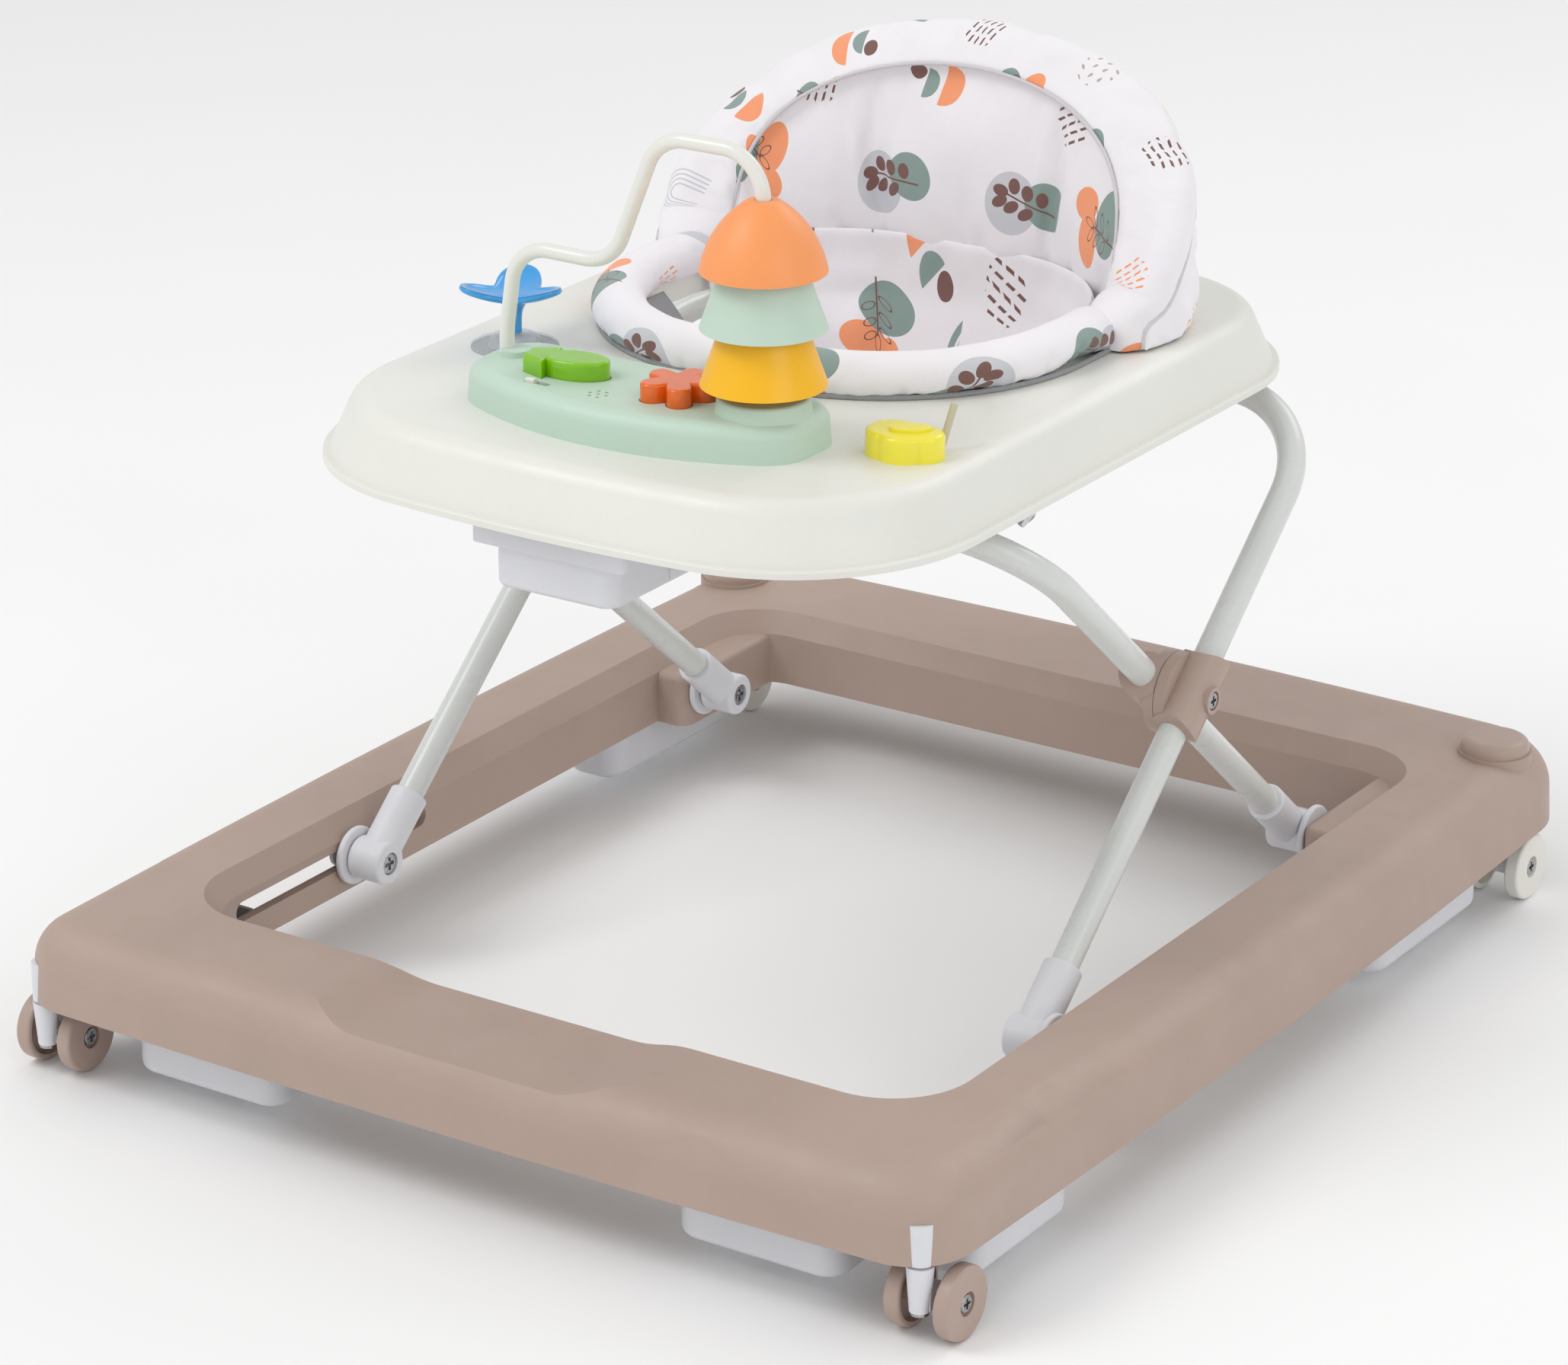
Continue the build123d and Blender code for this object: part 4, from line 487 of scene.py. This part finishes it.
def paint_toys():
    mint = plastic("mint_moulded", MINT, 0.45, 0.00006, 0.0, 0.96)
    paint(mint, "console_lid", "console_base", "cone_mint")
    paint(plastic("orange_moulded", ORANGE, 0.4, 0.00004, 0.0, 0.96), "cone_orange")
    paint(plastic("yellow_moulded", YELLOW, 0.34, 0.00004, 0.0, 0.96), "cone_yellow")
    paint(plastic("lemon_gloss", LEMON, 0.25, 0.00003, 0.0, 0.95, 0.4), "fruit_toy")
    paint(plastic("beige_moulded", BEIGE, 0.5), "fruit_stalk")
    paint(plastic("wire_coat", WARM_WHITE, 0.3, 0.00003, 0.0, 0.97, 0.3), "toy_wire")
    paint(tinted_clear("green_clear", GREEN, 0.12, 0.1), "fish_key")
    paint(tinted_clear("orange_clear", STAR_ORANGE, 0.12, 0.1), "star_key")
    paint(tinted_clear("clear", srgb(238, 243, 248), 0.0, 0.06, 0.35), "spinner_base")
    paint(plastic("board", srgb(30, 90, 50), 0.4), "circuit_board")
    paint(plastic("cell_wrap", srgb(45, 45, 50), 0.3), "battery_cells")
    paint(plastic("speaker_black", srgb(25, 25, 26), 0.6), "speaker")


# ================================================================ sewing
def smoothed(points, passes):
    """Rounds the corners of an open line, with its ends held."""
    line = points.copy()
    for _ in range(passes):
        line[1:-1] = line[1:-1] * 0.5 + (line[:-2] + line[2:]) * 0.25
    return line


def resampled(points, count):
    """The same line as count points at equal spacing, and its length."""
    steps = np.linalg.norm(np.diff(points, axis=0), axis=1)
    lengths = np.concatenate([[0.0], np.cumsum(steps)])
    wanted = np.linspace(0.0, lengths[-1], count)
    columns = [np.interp(wanted, lengths, points[:, k]) for k in range(points.shape[1])]
    return np.stack(columns, axis=1), lengths[-1]


class Sewing:
    """A mesh sewn from patches. Each patch has its own UVs in metres, and seams are held while it fills."""

    def __init__(self):
        self.mesh = bmesh.new()
        self.uv = self.mesh.loops.layers.uv.new("UVMap")
        self.held = self.mesh.verts.layers.float.new("held")

    def patch(self, rows, columns, spot, uv, held):
        """spot, uv and held give a point, its UV and its hold for shares of the way along and across."""
        shares = [[(i / rows, j / columns) for j in range(columns + 1)] for i in range(rows + 1)]
        corners = [[self.mesh.verts.new(spot(*share)) for share in line] for line in shares]
        for line, points in zip(shares, corners):
            for share, vertex in zip(line, points):
                vertex[self.held] = held(*share)
        for i in range(rows):
            for j in range(columns):
                ring = [(i, j), (i + 1, j), (i + 1, j + 1), (i, j + 1)]
                face = self.mesh.faces.new([corners[a][b] for a, b in ring])
                for loop, (a, b) in zip(face.loops, ring):
                    loop[self.uv].uv = uv(*shares[a][b])

    def finish(self, name, material):
        bmesh.ops.remove_doubles(self.mesh, verts=self.mesh.verts, dist=0.00005)
        bmesh.ops.dissolve_degenerate(self.mesh, edges=self.mesh.edges, dist=0.00002)
        bmesh.ops.recalc_face_normals(self.mesh, faces=self.mesh.faces)
        for face in self.mesh.faces:
            face.smooth = True
        holds = [vertex[self.held] for vertex in self.mesh.verts]
        data = bpy.data.meshes.new(name)
        self.mesh.to_mesh(data)
        self.mesh.free()
        piece = bpy.data.objects.new(name, data)
        bpy.context.scene.collection.objects.link(piece)
        data.materials.append(material)
        group = piece.vertex_groups.new(name="held")
        for index, hold in enumerate(holds):
            if hold > 0:
                group.add([index], hold, "REPLACE")
        return piece


def plain(along, across):
    """UVs for a piece whose material doesn't use them."""
    return (along, across)


def unheld(along, across):
    return 0.0


def at_edges(across, along):
    """Holds a strip along its two long seams."""
    return 1.0 if across in (0.0, 1.0) else 0.0


def fill(piece, pressure, cap, slack, frames=20):
    """Fills a sewn piece with air for a moment and keeps its shape. No point moves further than the cap."""
    start = np.array([vertex.co for vertex in piece.data.vertices])
    cloth = piece.modifiers.new("cloth", "CLOTH")
    cloth.settings.quality = 6
    cloth.settings.mass = 0.15
    cloth.settings.tension_stiffness = 15
    cloth.settings.compression_stiffness = 15
    cloth.settings.shear_stiffness = 8
    cloth.settings.bending_stiffness = 0.4
    cloth.settings.use_pressure = True
    cloth.settings.uniform_pressure_force = pressure
    cloth.settings.shrink_min = -slack
    cloth.settings.vertex_group_mass = "held"
    cloth.settings.effector_weights.gravity = 0.0
    cloth.point_cache.frame_start = 1
    cloth.point_cache.frame_end = frames
    scene = bpy.context.scene
    for step in range(1, frames + 1):
        scene.frame_set(step)
    solved = piece.evaluated_get(bpy.context.evaluated_depsgraph_get())
    ends = np.array([vertex.co for vertex in solved.data.vertices])
    piece.modifiers.remove(cloth)
    moves = ends - start
    far = np.maximum(np.linalg.norm(moves, axis=1), 1e-9)
    kept = start + moves * np.minimum(1.0, cap / far)[:, None]
    piece.data.vertices.foreach_set("co", kept.astype(np.float32).ravel())
    piece.data.update()
    scene.frame_set(1)


def finer(piece, levels=1):
    """Subdivides a piece once it has its shape, and keeps the result."""
    modifier = piece.modifiers.new("finer", "SUBSURF")
    modifier.levels = levels
    modifier.render_levels = levels
    keep_modifiers(piece)


def keep_modifiers(piece):
    solved = piece.evaluated_get(bpy.context.evaluated_depsgraph_get())
    final = bpy.data.meshes.new_from_object(solved)
    piece.modifiers.clear()
    old = piece.data
    piece.data = final
    bpy.data.meshes.remove(old)
    for polygon in piece.data.polygons:
        polygon.use_smooth = True


def tube(name, points, radius, material, closed=False, sides=10):
    """A round cord or binding along a line of points, with UVs in metres."""
    sewing = Sewing()
    line = np.array(points)
    count = len(line)
    ahead = np.roll(line, -1, axis=0) if closed else np.vstack([line[1:], line[-1:] * 2 - line[-2:-1]])
    behind = np.roll(line, 1, axis=0) if closed else np.vstack([line[:1] * 2 - line[1:2], line[:-1]])
    tangents = ahead - behind
    tangents /= np.linalg.norm(tangents, axis=1)[:, None]
    side = np.cross(tangents, (0.0, 0.0, 1.0))
    side /= np.maximum(np.linalg.norm(side, axis=1), 1e-6)[:, None]
    lift = np.cross(side, tangents)
    steps = count if closed else count - 1
    length = np.linalg.norm(ahead - line, axis=1).sum()

    def spot(along, around):
        k = round(along * steps) % count
        angle = 2 * math.pi * around
        return Vector(line[k] + (side[k] * math.cos(angle) + lift[k] * math.sin(angle)) * radius)

    around_length = 2 * math.pi * radius
    sewing.patch(steps, sides, spot, lambda along, around: (along * length, around * around_length), unheld)
    return sewing.finish(name, material)


# ================================================================ spinner and spring
SPINNER_TURN = math.radians(116)
SPINNER_MEAN = 22.5 * MM
SPINNER_SWING = 7.5 * MM


def spinner():
    """The three-lobed paddle with its lobes turned up, on a flared stem."""
    low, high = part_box("spinner")
    middle = Vector(((low.x + high.x) / 2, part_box("spinner_base")[0].y + 24 * MM, 0.0))
    rise = high.z - 4 * MM
    thickness = 3 * MM
    sewing = Sewing()
    rows, columns = 18, 96

    def reach(around):
        return SPINNER_MEAN + SPINNER_SWING * math.cos(3 * (2 * math.pi * around - SPINNER_TURN))

    def leaf(share, around, lift):
        angle = 2 * math.pi * around
        lobe = 0.5 + 0.5 * math.cos(3 * (angle - SPINNER_TURN))
        up = (2.0 + 6.0 * lobe) * MM * share ** 2.2
        out = reach(around) * share
        return middle + Vector((out * math.cos(angle), out * math.sin(angle), rise + up + lift))

    def top(share, around):
        rim = 1.0 * MM * max(0.0, 1 - abs(share - 0.93) / 0.09)
        return leaf(share, around, thickness + rim)

    def side(share, around):
        bulge = 0.8 * MM * math.sin(math.pi * share)
        angle = 2 * math.pi * around
        outward = Vector((math.cos(angle), math.sin(angle), 0.0))
        return leaf(1.0, around, thickness * (1 - share)) + outward * bulge

    def stem(share, around):
        angle = 2 * math.pi * around
        radius = (4.0 + 5.5 * (1 - share) ** 5) * MM
        height = rise + 0.4 * MM - (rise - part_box("spinner_base")[1].z - 0.7 * MM) * share
        return middle + Vector((radius * math.cos(angle), radius * math.sin(angle), height))

    sewing.patch(rows, columns, top, plain, unheld)
    sewing.patch(4, columns, side, plain, unheld)
    sewing.patch(rows, columns, lambda share, around: leaf(1 - share, around, 0.0), plain, unheld)
    sewing.patch(16, columns, stem, plain, unheld)
    piece = sewing.finish("spinner_paddle", plastic("blue_gloss", BLUE, 0.2, 0.00002, 0.0, 0.9, 0.6))
    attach(piece, "paddle")
    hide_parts("spinner")


def latch_coil():
    """The latch's spring, copied onto a mesh of its own that rides with the tray."""
    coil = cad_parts["latch_spring"]
    piece = bpy.data.objects.new("latch_coil", coil.data.copy())
    bpy.context.scene.collection.objects.link(piece)
    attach(piece, "tray")
    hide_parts("latch_spring")
    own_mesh(piece)


# ================================================================ hood
TRAY_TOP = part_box("tray_shell")[1].z
HOOD_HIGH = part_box("backrest")[1]
HOOD_RADIUS = 20 * MM
HOOD_WIDTH = HOOD_HIGH.x - HOOD_RADIUS
HOOD_DEPTH = 75 * MM
HOOD_MIDDLE = HOOD_HIGH.y - HOOD_RADIUS - HOOD_DEPTH
HOOD_FOOT = TRAY_TOP + 1.2 * MM
HOOD_LOBE = TRAY_TOP + 17 * MM
HOOD_RISE = 101 * MM
HOOD_END = math.radians(103)
HOOD_BOXING = 18 * MM
HOOD_SWELL = 2.5 * MM
ARCH_REACH = 0.95
ARCH_POWER = 0.81


def hood_table():
    """Angles round the hood's wall and the length of wall to each, 0 at the back."""
    angles = np.linspace(-HOOD_END, HOOD_END, 401)
    line = np.stack([HOOD_WIDTH * np.sin(angles), HOOD_DEPTH * np.cos(angles)], axis=1)
    steps = np.linalg.norm(np.diff(line, axis=0), axis=1)
    lengths = np.concatenate([[0.0], np.cumsum(steps)])
    return angles, lengths - lengths[-1] / 2


HOOD_ANGLES, HOOD_LENGTHS = hood_table()


def hood_spot(along, outward, height):
    """A point on the hood's wall, a distance along it from the back, outward from its middle and up."""
    end = HOOD_LENGTHS[-1]
    angle = float(np.interp(along, HOOD_LENGTHS, HOOD_ANGLES))
    normal = Vector((math.sin(angle) / HOOD_WIDTH, math.cos(angle) / HOOD_DEPTH, 0.0)).normalized()
    heading = Vector((normal.y, -normal.x, 0.0))
    past = max(along - end, 0.0) + min(along + end, 0.0)
    middle = Vector((HOOD_WIDTH * math.sin(angle), HOOD_MIDDLE + HOOD_DEPTH * math.cos(angle), height))
    return middle + normal * outward + heading * past


def hood_rim(count):
    """The rim's line as (along, height) and its outward directions."""
    heights = []
    for angle in HOOD_ANGLES:
        share = max(math.cos(ARCH_REACH * angle), 0.0)
        heights.append(HOOD_LOBE + HOOD_RISE * share ** ARCH_POWER)
    arch = np.stack([HOOD_LENGTHS, heights], axis=1)
    first = [[HOOD_LENGTHS[0], HOOD_FOOT]]
    last = [[HOOD_LENGTHS[-1], HOOD_FOOT]]
    line, _ = resampled(np.vstack([first, arch, last]), 301)
    line, _ = resampled(smoothed(line, 30), count)
    tangents = np.gradient(line, axis=0)
    tangents /= np.linalg.norm(tangents, axis=1)[:, None]
    return line, np.stack([-tangents[:, 1], tangents[:, 0]], axis=1)


def hood():
    """The padded hood: inner and outer panels and a full boxing strip between their seams."""
    columns = 132
    rim, outs = hood_rim(columns + 1)
    foot = np.linspace(rim[0, 0], rim[-1, 0], columns + 1)
    sewing = Sewing()

    def panel(side):
        def spot(up, along):
            k = round(along * columns)
            line = foot[k] + (rim[k, 0] - foot[k]) * up
            height = HOOD_FOOT + (rim[k, 1] - HOOD_FOOT) * up
            swell = HOOD_SWELL * math.sin(math.pi * up)
            return hood_spot(line, side * (HOOD_RADIUS + swell), height)

        def uv(up, along):
            k = round(along * columns)
            line = foot[k] + (rim[k, 0] - foot[k]) * up
            return (line + side * 0.41, HOOD_FOOT + (rim[k, 1] - HOOD_FOOT) * up)

        def held(up, along):
            return 1.0 if up in (0.0, 1.0) or min(along, 1 - along) < 0.02 else 0.0

        sewing.patch(16, columns, spot, uv, held)

    def strip_spot(across, along):
        k = round(along * columns)
        angle = math.pi * (across - 0.5)
        push = HOOD_BOXING * math.cos(angle)
        height = max(rim[k, 1] + outs[k, 1] * push, HOOD_FOOT)
        return hood_spot(rim[k, 0] + outs[k, 0] * push, HOOD_RADIUS * math.sin(angle), height)

    def strip_uv(across, along):
        return (along * 0.62 + 0.17, across * math.pi * HOOD_RADIUS + 0.9)

    def foot_spot(across, along):
        k = round(along * columns)
        return hood_spot(foot[k], HOOD_RADIUS * (2 * across - 1), HOOD_FOOT)

    panel(-1)
    panel(1)
    sewing.patch(12, columns, strip_spot, strip_uv, at_edges)
    sewing.patch(6, columns, foot_spot, lambda across, along: (along, across), lambda across, along: 1.0)
    piece = sewing.finish("hood_cushion", CLOTH)
    fill(piece, 4.0, 7 * MM, 0.05)
    finer(piece)
    for name, side in (("hood_inner_piping", -1), ("hood_outer_piping", 1)):
        edge = [hood_spot(a, side * (HOOD_RADIUS + 0.3 * MM), max(z, HOOD_FOOT + 1 * MM)) for a, z in rim]
        cord = tube(name, edge, 1.1 * MM, PLAIN_CLOTH)
        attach(cord, "tray")
    return piece


# ================================================================ seat
SLING_LOW, SLING_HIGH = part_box("seat_sling")
ROLL_LOW, ROLL_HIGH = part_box("seat_roll")
ROLL_HALF_WIDTH = 15 * MM
ROLL_HALF_HEIGHT = 11.5 * MM
SIDE_TAPER = 34 * MM
FRONT_TAPER = 62 * MM
REAR_TAPER = 34 * MM
LEG_RADIUS = 40 * MM
LEG_X = 58 * MM
LEG_TILT = math.radians(26)


def rounded_loop(half, front, rear, front_radius, rear_radius, count):
    """A rounded rectangle from its rear middle round by +X, as evenly spaced points in the plane."""
    points = [(0.0, rear)]
    for start, radius, y in ((90, rear_radius, rear - rear_radius), (0, front_radius, front + front_radius)):
        for step in range(17):
            angle = math.radians(start - 90 * step / 16)
            points.append((half - radius + radius * math.cos(angle), y + radius * math.sin(angle)))
    points.append((0.0, front))
    right = np.array(points)
    left = right[::-1] * (-1.0, 1.0)
    loop, _ = resampled(np.vstack([right, left[1:]]), count + 1)
    return loop[:-1]


def seat_section(depth, count):
    """Outline of the hanging seat at a depth below the tray's top, 0 to 1."""
    half = SLING_HIGH.x - SIDE_TAPER * depth
    front = SLING_LOW.y + FRONT_TAPER * depth
    rear = SLING_HIGH.y - REAR_TAPER * depth
    return rounded_loop(half, front, rear, (108 - 40 * depth) * MM, (96 - 34 * depth) * MM, count)


def leg_axis(side):
    """A point on a leg hole's axis, and the axis's direction."""
    middle_y = (SLING_LOW.y + SLING_HIGH.y) / 2 - 8 * MM
    point = Vector((side * LEG_X, middle_y, SLING_LOW.z - 20 * MM))
    return point, Vector((side * math.sin(LEG_TILT), 0.0, math.cos(LEG_TILT)))


def from_axis(point, side):
    middle, axis = leg_axis(side)
    offset = point - middle
    return offset - axis * offset.dot(axis)


def seat_bowl():
    """The hanging seat: a padded sheet from the hood's crease and the hole's edge down to the crotch."""
    count = 128
    crease = TRAY_TOP + 17 * MM
    back = HOOD_MIDDLE + HOOD_DEPTH - HOOD_RADIUS - 5 * MM
    inside = rounded_loop(
        HOOD_WIDTH - HOOD_RADIUS - 4 * MM, SLING_LOW.y - 2 * MM, back, 108 * MM, 88 * MM, count)
    rims = []
    for x, y in inside:
        share = min(max((y - 40 * MM) / (45 * MM), 0.0), 1.0)
        lift = share * share * (3 - 2 * share)
        rims.append(Vector((x, y, TRAY_TOP + 6 * MM + (crease - TRAY_TOP - 6 * MM) * lift)))
    wall_rows = 22
    sections = [seat_section(k / wall_rows, count) for k in range(wall_rows + 1)]
    floor_rows = 12
    depth = TRAY_TOP - SLING_LOW.z

    def spot(down, around):
        column = round(around * count) % count
        level = down * (wall_rows + floor_rows)
        if level < 4:
            x, y = sections[4][column]
            start = rims[column]
            end = Vector((x, y, TRAY_TOP - depth * 4 / wall_rows))
            return start.lerp(end, level / 4)
        row = round(min(level, wall_rows))
        x, y = sections[row][column]
        share = row / wall_rows
        height = TRAY_TOP - depth * share
        if level > wall_rows:
            inward = (level - wall_rows) / floor_rows
            middle_y = (SLING_LOW.y + SLING_HIGH.y) / 2 - 6 * MM
            x *= 1 - inward
            y += (middle_y - y) * inward
            height = SLING_LOW.z + 3 * MM * math.cos(inward * math.pi)
        return Vector((x, y, height))

    def uv(down, around):
        level = down * (wall_rows + floor_rows)
        return (around * 0.76, level * 5.3 * MM + 0.2)

    sewing = Sewing()
    sewing.patch(
        wall_rows + floor_rows, count, spot, uv,
        lambda down, around: 1.0 if down == 0.0 else 0.0)
    for side in (-1, 1):
        own = [f for f in sewing.mesh.faces if f.calc_center_median().x * side > 0]
        cut = [f for f in own if from_axis(f.calc_center_median(), side).length < LEG_RADIUS]
        bmesh.ops.delete(sewing.mesh, geom=cut, context="FACES")
    bmesh.ops.remove_doubles(sewing.mesh, verts=sewing.mesh.verts, dist=0.00005)
    loops = {}
    for side in (-1, 1):
        low = [v for v in sewing.mesh.verts if v.is_boundary and v.co.z < TRAY_TOP - 20 * MM]
        edge = [v for v in low if v.co.x * side > 0]
        for vertex in edge:
            out = from_axis(vertex.co, side)
            vertex.co += out.normalized() * (LEG_RADIUS - out.length)
            vertex[sewing.held] = 1.0
        loops[side] = edge_line(edge, side)
    piece = sewing.finish("seat_bowl", CLOTH)
    fill(piece, 1.5, 6 * MM, 0.04)
    shell = piece.modifiers.new("thickness", "SOLIDIFY")
    shell.thickness = 2.6 * MM
    shell.offset = 0.0
    finer(piece)
    for side, name in ((-1, "left"), (1, "right")):
        binding = tube("leg_binding_" + name, loops[side], 2.4 * MM, TAPE, closed=True)
        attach(binding, "tray")
    return piece


def edge_line(edge, side):
    """The points round a leg hole in order, smoothed."""
    _, axis = leg_axis(side)
    first = axis.orthogonal().normalized()
    second = axis.cross(first)

    def angle(vertex):
        out = from_axis(vertex.co, side)
        return math.atan2(out.dot(second), out.dot(first))

    ordered = np.array([vertex.co for vertex in sorted(edge, key=angle)])
    loop, _ = resampled(np.vstack([ordered, ordered[:1]]), 73)
    for _ in range(3):
        ring = loop[:-1]
        ring = ring * 0.5 + (np.roll(ring, 1, axis=0) + np.roll(ring, -1, axis=0)) * 0.25
        loop = np.vstack([ring, ring[:1]])
    return loop[:-1]


def front_roll():
    """The padded roll along the front and sides of the hole, with its ends under the hood."""
    count = 400
    steps = 150
    inset = ROLL_HALF_WIDTH
    front, rear = ROLL_LOW.y + inset, ROLL_HIGH.y - inset
    loop = rounded_loop(ROLL_HIGH.x - inset, front, rear, 112 * MM, 100 * MM, count)
    start = round(count * 0.2)
    line, length = resampled(loop[start:count - start + 1], steps + 1)
    tangents = np.gradient(line, axis=0)
    tangents /= np.linalg.norm(tangents, axis=1)[:, None]
    normals = np.stack([-tangents[:, 1], tangents[:, 0]], axis=1)
    centre = TRAY_TOP + 10.5 * MM

    def spot(along, around):
        k = round(along * steps)
        from_end = min(min(along, 1 - along) * length / (14 * MM), 1.0)
        taper = math.sin(from_end * math.pi / 2)
        angle = 2 * math.pi * around - math.pi / 2
        x, y = line[k] + normals[k] * math.cos(angle) * ROLL_HALF_WIDTH * taper
        return Vector((x, y, centre + math.sin(angle) * ROLL_HALF_HEIGHT * taper))

    sewing = Sewing()
    sewing.patch(
        steps, 24, spot, lambda along, around: (along * length + 0.05, around * 84 * MM + 0.5),
        lambda along, around: 1.0 if around in (0.0, 1.0) else 0.0)
    piece = sewing.finish("seat_front_roll", CLOTH)
    fill(piece, 4.0, 3 * MM, 0.06)
    finer(piece)
    outward = side_of_outside(line, normals) * 13.5 * MM
    edge = [(*(line[k] + normals[k] * outward), TRAY_TOP + 1.4 * MM) for k in range(4, steps - 3)]
    binding = tube("seat_edge_binding", edge, 1.5 * MM, TAPE)
    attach(binding, "tray")
    return piece


def side_of_outside(line, normals):
    """+1 if the line's normals point away from the hole, else -1."""
    middle = line[len(line) // 2] + normals[len(line) // 2] * 0.01
    return 1.0 if middle[1] < line[len(line) // 2][1] else -1.0


TAB_WIDTH = 26 * MM
TAB_LENGTH = 38 * MM


def seat_loop():
    """The webbing tab stitched inside the seat's left side."""
    sewing = Sewing()
    start = Vector((-121, -12, 378)) * MM
    across = Vector((0, TAB_WIDTH, 0))
    drop = Vector((12, 10, -34)) * MM

    def spot(down, side):
        sag = Vector((5, 0, -1)) * MM * math.sin(math.pi * down)
        return start + across * side + drop * down + sag

    sewing.patch(14, 8, spot, lambda down, side: (side * TAB_WIDTH, down * TAB_LENGTH), unheld)
    piece = sewing.finish("seat_webbing_tab", TAPE)
    shell = piece.modifiers.new("thickness", "SOLIDIFY")
    shell.thickness = 1.2 * MM
    keep_modifiers(piece)
    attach(piece, "tray")


CLOTH = printed_cloth("printed_cloth")
PLAIN_CLOTH = webbing("plain_piping", CLOTH_WHITE, 1.2 * MM)
TAPE = webbing("grey_tape", BINDING_GREY, 1.6 * MM)


def soft_goods():
    for piece, node, full in (
            (hood(), "backrest", 0.8), (front_roll(), "seat_roll", 0.8), (seat_bowl(), "seat_sling", 0.2)):
        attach(piece, "tray")
        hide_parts(node)
    seat_loop()


# ================================================================ studio
CAMERA_SPOT = (1.4926, -2.3149, 1.2499)
CAMERA_BACK = (0.5121, -0.7780, 0.3640)
CAMERA_LENS = 121.42
WORLD_STRENGTH = 0.72
LAMPS = (
    ("key", (-1.3, -1.6, 2.6), (0.0, 0.0, 0.25), 1.6, 27.0),
    ("fill", (2.4, -0.9, 1.5), (0.0, 0.0, 0.25), 1.8, 10.0),
    ("back", (0.6, 2.2, 2.2), (0.0, 0.0, 0.3), 1.6, 12.0),
)


def camera():
    """The photographed view: azimuth 33 degrees to the right of the front, 21 degrees above level."""
    data = bpy.data.cameras.new("camera")
    data.lens = CAMERA_LENS
    data.sensor_width = 36.0
    thing = bpy.data.objects.new("camera", data)
    bpy.context.scene.collection.objects.link(thing)
    thing.location = CAMERA_SPOT
    thing.rotation_euler = (-Vector(CAMERA_BACK)).to_track_quat("-Z", "Y").to_euler()
    bpy.context.scene.camera = thing


def lamp(name, spot, aim, size, power):
    data = bpy.data.lights.new(name, "AREA")
    data.shape = "DISK"
    data.size = size
    data.energy = power
    thing = bpy.data.objects.new(name, data)
    bpy.context.scene.collection.objects.link(thing)
    thing.location = spot
    thing.rotation_euler = (Vector(aim) - Vector(spot)).to_track_quat("-Z", "Y").to_euler()


def studio():
    bpy.ops.mesh.primitive_plane_add(size=14.0, location=(0.0, 0.0, -0.0005))
    floor = bpy.context.object
    floor.name = "floor"
    material, tree, shader = new_material("floor_paper")
    paper = srgb(250, 250, 250)
    shade = drifting(tree, place(tree), 3.0, paper, 0.985)
    tree.links.new(shade, shader.inputs["Base Color"])
    shader.inputs["Roughness"].default_value = 0.9
    floor.data.materials.append(material)
    floor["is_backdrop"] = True
    world = bpy.data.worlds.new("studio")
    world.use_nodes = True
    world.node_tree.nodes["Background"].inputs["Color"].default_value = (1.0, 1.0, 1.0, 1.0)
    world.node_tree.nodes["Background"].inputs["Strength"].default_value = WORLD_STRENGTH
    bpy.context.scene.world = world
    bpy.context.scene.view_settings.view_transform = "Standard"
    for facts in LAMPS:
        lamp(*facts)


paint_frame()
paint_toys()
spinner()
latch_coil()
soft_goods()
camera()
studio()

boxes = {"cad": cad_bounds, "visual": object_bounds()}
{name: [list(corner) for corner in box] for name, box in boxes.items()}
